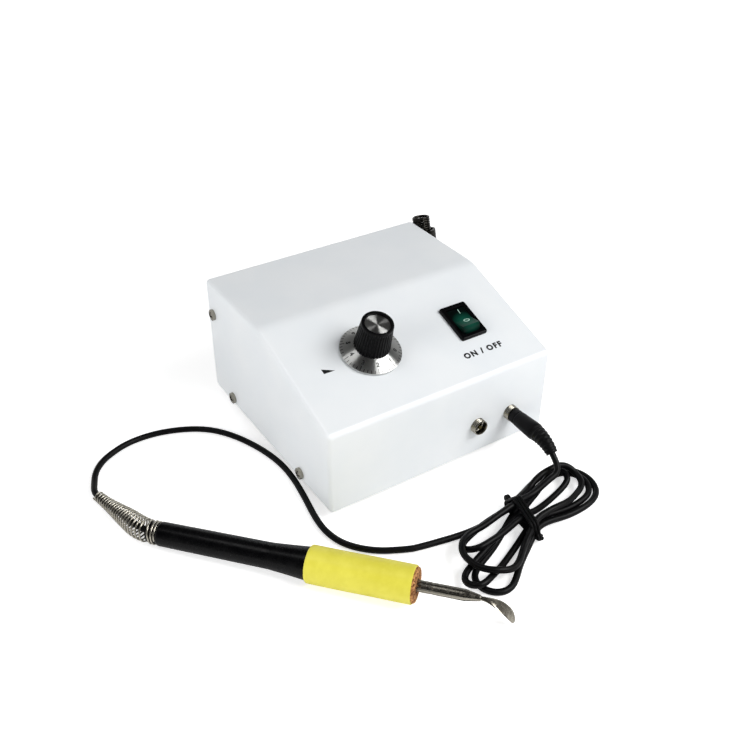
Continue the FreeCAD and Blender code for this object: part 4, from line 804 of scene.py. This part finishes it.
def stacked(flat):
    """Heights of a cord laid down from its start: it rests on the table, on the tie or on what lies there."""
    along = np.abs((flat - waist) @ along_hank)
    high = cord_lie + waist_lift * np.exp(-(np.maximum(0, along - 5.0) / 7.0) ** 2)
    free, look = 14, 26
    for i in range(free + 1, len(flat)):
        apart = ((flat[:i - free] - flat[i]) ** 2).sum(1)
        near = apart < strand_gap ** 2
        if near.any():
            need = (high[:i - free][near] + np.sqrt(strand_gap ** 2 - apart[near])).max()
            if need > high[i]:
                k = np.arange(max(0, i - look), min(len(flat), i + look))
                rise = (need - cord_lie) * np.exp(-(np.maximum(0, np.abs(k - i) - 2.0) / 8.0) ** 2)
                high[k] = np.maximum(high[k], cord_lie + rise)
    return high


def hank_controls():
    """The hank's turns, laid one after another over the waist; each lobe has its own reach and direction."""
    start = np.array(hank_start[:2])
    points = [start, start + 12.9 * np.array(hank_start_way[:2])]
    for turn in half_turns:
        points += [waist + across_hank * turn[1]] + [waist + p for p in lobe(*turn)]
    points += [waist + across_hank * 5.0, waist + across_hank * 4.2 + along_hank * 10, np.array(hank_end[:2])]
    flat = spline_path("hank_plan", [(x, y, 0) for x, y in points], 12)[:, :2] / MM
    flat = even_steps(flat, 1.0)
    high = stacked(flat)
    left = np.arange(len(flat))[::-1]
    high = np.maximum(high, hank_end[2] - 0.3 * left)
    for _ in range(6):
        high[1:-1] = (high[:-2] + 2 * high[1:-1] + high[2:]) / 4
    return even_steps(np.column_stack([flat, high]), hank_spacing)


relief_exit = (40.0, -91.113, 11.355)
hank_start = (-24.621, -98.254, cord_lie)
hank_end = (31.993, -99.391, 5.459)
hank_end_way = (0.9886, 0.1130, 0.0995)
hank_start_way = (0.98163, -0.19081, 0.0)
plug_run_last = 3.8
pen_run_last = 14.6


def plug_and_hank():
    """The cord from the plug down on to the hank and round all its turns."""
    last = [a + plug_run_last * w for a, w in zip(hank_end, hank_end_way)]
    controls = [relief_exit, (40.0, -95.0, 8.1), (38.6, -97.3, 6.4), last, *hank_controls()[::-1]]
    path = spline_path("plug_and_hank", controls, 3)
    body = cord_piece("cord_hank_turns", path, ("cord_plug_run", "cord_hank"))
    tie(path / MM)
    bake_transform(body)
    print("plug and hank", round(length_of(path), 4))


def pen_run():
    """The cord on the table from the hank round the case's left side to the pen."""
    points = [(-143.4, 21.6), (-141.0, 27.4), (-137.0, 32.6), (-130.9, 37.2), (-118.0, 42.0), (-101.3, 40.8),
              (-84.2, 33.1), (-74.2, 21.9), (-66.9, 5.9), (-62.9, -10.3), (-62.6, -24.7), (-64.9, -40.9),
              (-67.6, -54.8), (-68.2, -65.8), (-65.2, -76.8), (-56.2, -87.0), (-44.7, -93.2)]
    last = [a - pen_run_last * w for a, w in zip(hank_start, hank_start_way)]
    leave = guard_point(guard_length) + 3.0 * (guard_point(guard_length) - guard_point(guard_length - 1.0))
    controls = [guard_point(guard_length), leave] + [(x, y, cord_lie) for x, y in points]
    controls += [last, hank_start]
    path = spline_path("pen_run", controls[::-1], 8)
    body = cord_piece("cord_to_pen", path, ("cord_pen_run",))
    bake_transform(body)
    print("pen run", round(length_of(path), 4))


def guard_radius(distance):
    """The coil's radius: wide near the handle, then a smooth step down to the cord's."""
    share = np.clip((np.asarray(distance, float) / guard_length - 0.2) / 0.8, 0, 1)
    return guard_wide_r + (guard_thin_r - guard_wide_r) * share * share * (3 - 2 * share)


def guard_axis(distance):
    """The guard's axis behind the handle, in the pen's frame: straight, an arc, straight, as high as it is thick."""
    d = np.asarray(distance, float)
    straight = np.minimum(d, guard_neck)
    radius = guard_bend_length / guard_bend
    turn = np.clip(d - guard_neck, 0, guard_bend_length) / radius
    rest = np.maximum(0, d - guard_neck - guard_bend_length)
    x = -straight - radius * np.sin(turn) - rest * np.cos(turn)
    y = radius * (1 - np.cos(turn)) + rest * np.sin(turn)
    lift = handle_rear_r / math.cos(pen_tilt) + 0.02
    z = (guard_radius(d) + guard_wire_r - lift - x * math.sin(pen_tilt)) / math.cos(pen_tilt)
    way = np.stack([-np.cos(turn), np.sin(turn), np.zeros_like(turn)], -1)
    return np.stack([x, y, z], -1), way


def guard_point(distance):
    at, _ = guard_axis(distance)
    pen = pen_frame()
    return at @ pen[:3, :3].T + pen[:3, 3]


def guard_cord():
    """The cord inside the guard, from the neck to the guard's thin end."""
    controls = [guard_point(d) for d in np.linspace(0, guard_length, 12)]
    path = spline_path("guard_cord_line", controls, 8)
    points, quads, uv = carried(path / MM, (0, 0, 1), cord_r, 14)
    body = mesh_piece("cord_in_guard", points * MM, quads, uv, "pen",
                      finishes["cord_sheath"], ("guard_cord",))


# the case

def cross_head(name, places, slot="screw_steel", stands_for=(), body="control_unit"):
    """Pan heads: a dome whose height falls inside a cross, over the head's side and its flat underside."""
    ring = np.linspace(0, 1, 25)
    angle = np.linspace(0, TAU, 97)
    r, a = np.meshgrid(ring * screw_head_r, angle, indexing="ij")
    x, y = r * np.cos(a), r * np.sin(a)
    dome = screw_head * (1 - 0.28 * (r / screw_head_r) ** 2)
    arm = np.minimum(np.abs(x), np.abs(y)) < 0.42
    inside = arm & (np.maximum(np.abs(x), np.abs(y)) < 1.9)
    depth = np.where(inside, 1.3 * (1 - np.maximum(np.abs(x), np.abs(y)) / 3.8), 0.0)
    top = np.stack([x, y, dome - depth], -1)
    skirt = rounded([(screw_head_r, screw_head * 0.72), (screw_head_r, 0.15), (screw_head_r - 0.15, 0.0),
                     (0, 0)], 0.1)
    sheets = []
    for place in places:
        for points, quads, uv in (sheet(top), lathe(skirt, 96)):
            moved = points @ place[:3, :3].T + place[:3, 3]
            sheets.append((moved, quads, uv))
    return piece(name, sheets, WORLD, body, finishes[slot], stands_for)


def case():
    refined("cover", "cover_shell", "control_unit", finishes["case_paint"], 30, 0.12)
    refined("base_tray", "base_chassis", "control_unit", finishes["zinc_plate"], 30)
    places = [side_frame(side, y, z) for side in (-1, 1) for y, z in low_screws]
    places.append(side_frame(-1, *high_screw))
    cross_head("cover_screws", places, stands_for=("side_screws",))
    cross_head("holder_fixing_screw", [side_frame(1, *high_screw, 1.2)], stands_for=("holder_screw",))
    foot = rounded([(1.7, 0), (6.5, 0), (5.6, -5.0), (3.4, -5.0), (3.4, -2.6), (1.7, -2.6), (1.7, 0)], 0.5)
    sheets = []
    for x, y in foot_places:
        points, quads, uv = lathe(foot, 64)
        sheets.append((points + np.array((x, y, 0)), quads, uv))
    piece("feet", sheets, WORLD, "control_unit", finishes["foot_rubber"], ("rubber_feet",))


def panel_print():
    """The pointer beside the dial and a plain label under the switch."""
    corners = np.array([(-46.6, 34.0), (-46.6, 31.2), (-41.0, 31.1)])
    rows = [np.column_stack([np.concatenate([corners, corners[:1]]), np.full(4, h)]) for h in (0.0, 0.03)]
    middle = np.repeat([[*corners.mean(0), 0.03]], 4, 0)
    under = np.repeat([[*corners.mean(0), 0.0]], 4, 0)
    pointer = np.stack([under, *rows, middle])
    piece("dial_pointer", [sheet(pointer)], slope_frame(0, 0), "control_unit", panel_ink)
    lettering("switch_label", "ON / OFF", 4.2, slope_frame(31.0, 13.8), "control_unit",
              panel_ink, 1.3, weight=0.055)


# the dial

skirt_r = 14.7
skirt_top_r = 8.7
skirt_rim_h = 1.3
skirt_high = 4.5
knob_base_r = 8.7
knob_top_r = 7.5
knob_top = 19.4
cap_r = 6.0
digit_turn = 36.0
first_digit = -34.0


def cone_height(r):
    """The skirt's height over the slope at a radius."""
    return skirt_rim_h + (skirt_r - r) * (skirt_high - skirt_rim_h) / (skirt_r - skirt_top_r)


def dial_mark(angle, inner, outer, width):
    """A thin printed line up the skirt's cone."""
    r = np.array([inner, outer])
    side = np.array([-0.5, 0.5]) * width
    rows = []
    for lift in (0.0, 0.025):
        rows.append([(x, y, cone_height(x) + lift) for x, y in
                     ((r[0], side[0]), (r[1], side[0]), (r[1], side[1]), (r[0], side[1]), (r[0], side[0]))])
    centre = (r.mean(), 0.0)
    caps = [[(*centre, cone_height(centre[0]) + lift)] * 5 for lift in (0.0, 0.025)]
    points = np.array([caps[0], rows[0], rows[1], caps[1]])
    c, n = math.cos(angle), math.sin(angle)
    turned = points @ np.array(((c, n, 0), (-n, c, 0), (0, 0, 1)))
    return sheet(turned)


def dial():
    slope = slope_frame(*dial_at)
    skirt = rounded([(0, 3.7), (8.3, 3.7), (13.9, 0.7), (skirt_r, 0.7), (skirt_r, skirt_rim_h),
                     (skirt_top_r, skirt_high), (0, skirt_high)], 0.12, 2)
    piece("dial_skirt_spun", [lathe(skirt, 192)], slope, "dial",
          finishes["spun_aluminium"], ("dial_skirt",), 25)
    marks = []
    for k in range(50):
        long = k % 5 == 0
        angle = math.radians(first_digit - k * digit_turn / 5)
        marks.append(dial_mark(angle, 12.5 if long else 13.3, 14.5, 0.3))
    piece("dial_ticks", marks, slope, "dial", dial_ink)
    lean = math.atan2(skirt_high - skirt_rim_h, skirt_r - skirt_top_r)
    for k in range(10):
        angle = math.radians(first_digit - k * digit_turn)
        c, n = math.cos(angle), math.sin(angle)
        out, round_it = np.array((c, n, 0)), np.array((-n, c, 0))
        up = -out * math.cos(lean) + np.array((0, 0, math.sin(lean)))
        normal = np.cross(round_it, up)
        at = out * 11.0 + np.array((0, 0, cone_height(11.0)))
        lettering(f"dial_digit_{k}", str(k), 2.8, slope @ axes(at, round_it, up, normal), "dial",
                  dial_ink)
    knob()
    face = knob_top - 1.1
    cap = rounded([(0, face - 0.7), (cap_r, face - 0.7), (cap_r, face - 0.08), (cap_r - 0.18, face), (0, face)],
                  0.1, 2)
    piece("knob_cap_spun", [lathe(cap, 128)], slope, "dial",
          finishes["spun_aluminium"], ("knob_cap",), 25)


def knob():
    """The tapered knob: its side is ribbed by a flattened wave of the angle, and its rim is plain."""
    ribs, depth, rim = 36, 0.42, 1.1

    def fluted(r, h, a):
        wave = np.clip(0.5 + 0.9 * np.cos(ribs * a), 0, 1)
        on_side = np.clip((knob_top - rim - h) / 0.5, 0, 1) * np.clip((r - 7.0) / 0.3, 0, 1)
        return r - depth * wave * on_side

    heights = np.linspace(skirt_high + 0.3, knob_top - 0.5, 24)
    radii = knob_base_r + (knob_top_r - knob_base_r) * (heights - skirt_high) / (knob_top - skirt_high)
    line = [(0, skirt_high), (knob_base_r - 0.2, skirt_high), *zip(radii, heights)]
    line += [(knob_top_r - 0.12, knob_top - 0.12), (knob_top_r - 0.4, knob_top), (cap_r + 0.2, knob_top),
             (cap_r + 0.05, knob_top - 0.3), (cap_r + 0.05, knob_top - 1.6), (0, knob_top - 1.6)]
    piece("knob_ribbed", [lathe(line, 432, fluted)], slope_frame(*dial_at), "dial",
          finishes["black_moulding"], ("control_knob",), 40)


# the switch

def switch():
    place = slope_frame(*switch_at)
    outer = round_corners(15.0, 21.0, 1.0)
    pit = round_corners(10.6, 16.4, 0.35)
    levels = [(0.0, 0.0), (0.0, 1.2), (0.05, 1.55), (0.14, 1.75), (0.26, 1.8), (0.8, 1.8), (0.95, 1.7),
              (1.0, 1.5), (1.0, -6.0)]
    bezel = ring_wall(outer, pit, levels)
    floor_ring = ring_wall(pit, pit * 0.01, [(0.0, -6.0), (1.0, -6.0)])
    under = ring_wall(outer, pit * 0.01, [(0.0, 0.0), (1.0, 0.0)])
    piece("switch_bezel", [bezel, floor_ring, under], place, "control_unit",
          finishes["gloss_black"], ("switch_housing",), 35)
    rocker(place)


def rocker(place):
    """The rocker's section is an arc round its pivot, cut by two flats that meet at its crown."""
    half, crown, wide, radius = math.radians(11.0), 3.0, 10.2, 8.0
    pivot = -1.6
    edge_h = crown + radius * math.tan(half) * 1.1
    end = math.sqrt(radius ** 2 - edge_h ** 2)
    low = -2.4
    t = np.linspace(math.asin(low / radius), math.asin(edge_h / radius), 9)
    right = np.stack([radius * np.cos(t), radius * np.sin(t)], -1)
    dish = np.linspace(1, 0, 7)[1:-1]
    side = np.stack([end * dish, crown + (edge_h - crown) * dish - 0.18 * np.sin(math.pi * dish)], -1)
    half_line = np.concatenate([right, side])
    line = np.concatenate([half_line, [[0, crown]], half_line[::-1] * (-1, 1)])
    line = np.concatenate([line, line[:1]])
    inset = np.array([0, 0.12, 0.3, 0.45])
    rows = []
    middle = np.array([0.0, 0.5])
    xs = [-wide / 2, -wide / 2 + 0.06, -wide / 2 + 0.2, -wide / 2 + 0.45]
    shares = [0.93, 0.965, 0.99, 1.0]
    rows.append((-wide / 2, 0.0))
    rows += list(zip(xs, shares))
    rows += [(-x, s) for x, s in list(zip(xs, shares))[::-1]]
    rows.append((wide / 2, 0.0))
    del inset
    points = np.stack([np.column_stack([np.full(len(line), x), middle + (line - middle) * s])
                       for x, s in rows])
    tilt = -half
    c, n = math.cos(tilt), math.sin(tilt)
    turn = axes((0, 0, pivot), (1, 0, 0), (0, c, n), (0, -n, c))
    piece("rocker_tinted", [sheet(points)], place @ turn, "rocker",
          finishes["green_rocker"], ("switch_rocker",), 28)
    flat = math.atan2(edge_h - crown, end)
    for name, word, y, size, wider, weight in (("rocker_mark_on", "I", 4.5, 3.9, 1.0, -0.012),
                                               ("rocker_mark_off", "O", -1.95, 3.7, 1.25, 0.004)):
        lean = flat if y > 0 else -flat
        h = crown + abs(y) * math.tan(flat) - 0.05
        mark = axes((1.0, y, h), (wider, 0, 0), (0, math.cos(lean), math.sin(lean)),
                    (0, -math.sin(lean), math.cos(lean)))
        lettering(name, word, size, place @ turn @ mark, "rocker", switch_ink, 1.0, 0.1, weight)


# the sockets and the plug

def jacks():
    """Threaded barrels: the outside is a wave along the axis that climbs one pitch a turn."""
    pitch, depth = 0.75, 0.22

    def thread(r, h, a):
        wave = 0.5 + 0.5 * np.cos(TAU * (h / pitch - a / TAU))
        return r - depth * wave * ((h > 0.1) & (h < 2.7) & (r > 3.5))

    heights = np.linspace(0.1, 2.75, 34)
    for name, x in (("left", jack_xs[0]), ("right", jack_xs[1])):
        line = [(2.8, -11.0), (3.9, -11.0), (3.9, 0.05), *[(3.88, h) for h in heights], (3.72, 3.1),
                (3.42, 3.1), (3.3, 2.9), (3.3, 0.4), (2.8, 0.0), (2.8, -11.0)]
        piece(f"{name}_jack_threaded", [lathe(line, 96, thread)], front_frame(x, jack_z), "control_unit",
              finishes["screw_steel"], (f"{name}_jack_barrel",), 50)


def plug():
    face, end = 3.4, 19.4
    place = front_frame(jack_xs[1], jack_z)
    body = rounded([(1.0, -4.7), (2.74, -4.7), (2.74, face), (3.6, face), (3.72, face + 3.0),
                    (3.62, face + 3.2), (3.62, face + 3.6), (3.82, face + 3.8), (4.4, end - 1.0),
                    (4.2, end), (0, end)], 0.35, 4)
    piece("plug_moulding", [lathe(body, 96)], place, "plug",
          finishes["black_moulding"], ("plug_body",), 40)
    turn = np.radians(np.linspace(0, 40.0, 161))
    arc = 19.0
    path = np.stack([np.zeros_like(turn), -arc * (1 - np.cos(turn)), end + arc * np.sin(turn)], -1)
    share = np.linspace(0, 1, 161)
    radius = 4.2 + (2.9 - 4.2) * share
    rib = np.clip(1.6 * np.cos(TAU * 7 * share), -1, 1)
    radius = radius - 0.11 + 0.11 * rib
    radius[-4:] -= (0.0, 0.1, 0.3, 0.7)
    points = carried(path, (1, 0, 0), radius, 48)
    piece("plug_relief", [points], place, "plug", finishes["cord_sheath"],
          ("plug_strain_relief",), 60)


# the pen

def pen():
    place = along_pen()
    body = rounded([(0, 1.5 - neck_length), (neck_r, 1.5 - neck_length), (neck_r, -0.2), (handle_rear_r - 0.4, -0.1),
                    (handle_rear_r, 0.6), (handle_r, handle_straight), (6.4, 61.0),
                    (handle_flare_r, handle_length - 1.5), (handle_flare_r, handle_length),
                    (4.6, handle_length), (0, handle_length)], 1.2, 6)
    piece("handle_turned", [lathe(body, 96)], place, "pen", handle_gloss,
          ("pen_handle",), 40)
    start, end = handle_length - 0.8, handle_length + grip_length
    cork_r = grip_r - sleeve_wall

    def creased(r, h, a):
        wave = np.sin(3 * a + h * 0.11) * 0.5 + np.sin(7 * a - h * 0.23) * 0.3
        return r + 0.06 * wave * (r > cork_r + 0.1)

    heights = np.linspace(start + 0.8, end - 0.5, 40)
    line = [(cork_r, start), (grip_r - 0.35, start), (grip_r - 0.1, start + 0.3),
            *[(grip_r - 0.04, h) for h in heights], (grip_r - 0.14, end - 0.15), (grip_r - 0.4, end),
            (cork_r, end), (cork_r, start)]
    piece("grip_sleeve_shrunk", [lathe(line, 96, creased)], place, "pen",
          finishes["yellow_sleeve"], ("pen_grip_sleeve",), 40)
    grip_cork_piece(place, end, cork_r)
    rod(place)
    tip()
    guard()


def grip_cork_piece(place, end, cork_r):
    """The cork: its end face is pitted by crossed waves of radius and angle."""
    face = end + cork_out
    hole = rod_r + 0.5

    def pitted(r, h, a):
        return r + 0.05 * np.sin(9 * a + 5 * r) * np.cos(13 * a) * (h > end)

    ring = np.linspace(cork_r - 0.9, hole + 0.2, 8)
    line = [(hole, handle_length), (cork_r, handle_length), (cork_r, face - 0.9),
            (cork_r - 0.12, face - 0.45), (cork_r - 0.4, face - 0.14), *[(r, face) for r in ring],
            (hole, face - 0.3), (hole, handle_length)]
    piece("cork_turned", [lathe(line, 128, pitted)], place, "pen", finishes["cork"],
          ("grip_cork",), 40)


def rod(place):
    line = rounded([(0, 84.0), (3.0, 84.0), (3.0, 89.0), (rod_r, 89.0), (rod_r, rod_front - 14.0),
                    (rod_r - 0.12, rod_front - 13.7), (rod_r - 0.12, rod_front - 13.0),
                    (rod_r, rod_front - 12.7), (rod_r, rod_front), (rod_tip_r + 0.1, rod_front + rod_cone - 0.4),
                    (rod_tip_r, rod_front + rod_cone), (0, rod_front + rod_cone)], 0.4, 4)
    piece("heater_tube_turned", [lathe(line, 96)], place, "pen", finishes["tube_steel"],
          ("heater_tube",), 40)


tip_turn = math.radians(66.0)
tip_arc_r = 15.2


def tip():
    """The tip: an oval section carried down an arc; its upper side sinks into a spoon's bowl."""
    stations = np.array([(0.0, 1.8, 1.8, 0.0), (0.14, 2.5, 1.4, 0.0), (0.28, 4.0, 1.2, 0.1),
                         (0.43, 5.3, 1.1, 0.35), (0.6, 6.1, 1.0, 0.5), (0.78, 6.3, 1.0, 0.5),
                         (0.9, 5.6, 0.9, 0.25), (0.97, 3.9, 0.7, 0.0), (1.0, 1.8, 0.5, 0.0)])
    along = np.linspace(0, 1, 65)
    wide, thick, hollow = (np.interp(along, stations[:, 0], stations[:, k]) for k in (1, 2, 3))
    soften = np.array([1, 2, 3, 2, 1]) / 9
    for values in (wide, thick, hollow):
        values[2:-2] = np.convolve(values, soften, "valid")
    start = rod_front + rod_cone
    turn = tip_turn * along
    centre = np.stack([start + tip_arc_r * np.sin(turn), 0 * turn, -tip_arc_r * (1 - np.cos(turn))], -1)
    over = np.stack([np.sin(turn), 0 * turn, np.cos(turn)], -1)
    angle = np.linspace(0, TAU, 49)
    side, high = np.cos(angle), np.sin(angle)
    dip = np.where(high > 0, (1 - side ** 2) ** 0.8, 0)
    lift = thick[:, None] / 2 * high - hollow[:, None] * dip
    points = centre[:, None] + over[:, None] * lift[..., None]
    points[..., 1] += wide[:, None] / 2 * side
    ends = [np.repeat(centre[k:k + 1, None], 49, 1) for k in (0, -1)]
    shank = lathe([(0, start - 10.0), (0.85, start - 10.0), (0.85, start + 0.1), (0, start + 0.1)], 32)
    pen_place, turned_place = pen_frame(), along_pen()
    spoon, quads, uv = sheet(np.concatenate([ends[0], points, ends[1]]))
    sheets = [(spoon @ pen_place[:3, :3].T + pen_place[:3, 3], quads, uv)]
    sheets.append((shank[0] @ turned_place[:3, :3].T + turned_place[:3, 3], shank[1], shank[2]))
    piece("tip_spoon", sheets, WORLD, "tip", finishes["tip_steel"], ("wax_tip",), 50)


def guard():
    """The guard's wire: a helix about the sagging axis, whose radius shrinks to the cord's."""
    turns, per_turn = 23, 24
    t = np.linspace(0, turns, turns * per_turn + 1)
    distance = np.interp(t, (0, 2, 2.6, turns), (0.5, 3.3, 6.0, guard_length))
    radius = guard_radius(distance)
    at, way = guard_axis(distance)
    up = np.array((0.0, 0.0, 1.0))
    side = np.cross(np.broadcast_to(up, way.shape), way)
    angle = TAU * t
    out = side * np.cos(angle)[:, None] + up * np.sin(angle)[:, None]
    path = at + out * radius[:, None]
    piece("guard_spring_wound", [carried(path, out, guard_wire_r, 8)], pen_frame(), "pen",
          finishes["spring_steel"], ("cable_guard_spring",), 60)


# the holder

def holder():
    """The coil's wire is a helix about the holder's axis; the cup and its tab carry it."""
    wire, radius, turns, deep = 0.66, 4.24, 10, 12.3
    t = np.linspace(0, turns, turns * 36 + 1)
    out = np.stack([np.cos(TAU * t), -np.sin(TAU * t), 0 * t], -1)
    path = out * radius
    path[:, 2] = wire + np.clip((t - 0.9) / (turns - 0.9), 0, 1) * deep
    moved = axes((-0.9, 0.5, 0), (1, 0, 0), (0, 1, 0), (0, 0, 1)) @ holder_frame()
    # the coil and the cup are near black: dark steel with painted shade for the holder's dark mouth and flank
    piece("holder_coil_wound", [carried(path, out, wire, 12)], moved, "control_unit",
          finishes["holder_plate"], ("pen_holder_coil",), 60)
    refined("holder_cup", "pen_holder_clip", "control_unit", finishes["holder_plate"], 30, 0.15)


# the tie, a covered wire twisted round the hank's waist

def hugging(strands, centre, way, out):
    """A closed line drawn tight round the strands that cross an upright plane, at a distance out of them."""
    normal = np.array((-way[1], way[0]))
    ahead = (strands[:, :2] - centre) @ normal
    cut = np.nonzero(ahead[:-1] * ahead[1:] < 0)[0]
    part = (ahead[cut] / (ahead[cut] - ahead[cut + 1]))[:, None]
    points = strands[cut] * (1 - part) + strands[cut + 1] * part
    flat = np.stack([(points[:, :2] - centre) @ way, points[:, 2]], -1)
    flat = flat[np.abs(flat[:, 0]) < 16.0]
    angle = np.linspace(0, TAU, 241)
    ray = np.stack([np.cos(angle), np.sin(angle)], -1)
    far = (ray[:, None] * flat[None]).sum(2).argmax(1)
    line = even_steps(flat[far] + ray * (cord_r + out), 0.8)
    line[:, 1] = np.maximum(line[:, 1], floor_z + out + 0.03)
    return line


def tie(strands):
    """Three wraps of covered wire drawn tight round the waist, and a knot at either end of them."""
    wire, pitch, turns = 0.75, 1.5, 3
    centre, way = np.array((10.05, -106.4)), np.array((-0.126, -0.992))
    ring = hugging(strands, centre, way, wire)[:-1]
    lap = np.tile(ring, (turns, 1))
    on = np.linspace(-pitch * turns / 2, pitch * turns / 2, len(lap))
    band = np.column_stack([lap[:, 0], on, lap[:, 1]])
    sheets = [carried(band, (0, 1, 0), wire, 10)]
    t = np.linspace(0, 1, 73)
    for side, high in ((1, 0.2), (-1, 1.6)):
        at = ring[(ring[:, 0] * side).argmax()] + np.array((0.6 * side, high))
        a = TAU * 2 * t
        knot = np.stack([at[0] + 1.4 * np.cos(a), 2.2 * (t - 0.5) + 0 * a, at[1] + 1.4 * np.sin(a)], -1)
        sheets.append(carried(knot, (0, 1, 0), wire, 10))
    place = axes((*centre, 0), (*way, 0), (-way[1], way[0], 0), (0, 0, 1))
    piece("hank_twist_tie", sheets, place, "control_unit", finishes["tie_sheath"],
          ("hank_tie",), 60)


# the rear, and what keeps its own solid

def rear():
    refined("inlet_moulded", "mains_inlet", "control_unit", finishes["black_moulding"], 30, 0.2)
    refined("fuse_cap_moulded", "fuse_cap", "fuse", finishes["black_moulding"], 30, 0.15)
    refined("fuse_holder_moulded", "fuse_holder", "control_unit",
            finishes["black_moulding"], 30, 0.1)
    cross_head("inlet_fixing_screws", [rear_frame(34.0 + s * 20.0, 34.0) @ axes((0, 0, 2.6), (1, 0, 0), (0, 1, 0), (0, 0, 1))
                                       for s in (-1, 1)], stands_for=("inlet_screws",))


def carried_nodes():
    """Every node that still shows gets the finish of its own slot."""
    for row in frame["record"]["subparts"]:
        mesh = frame["nodes"][row["node"]].data
        mesh.materials.clear()
        mesh.materials.append(finishes[row["material_slot"]])


case()
panel_print()
dial()
switch()
jacks()
plug()
pen()
holder()
rear()
guard_cord()
plug_and_hank()
pen_run()
carried_nodes()
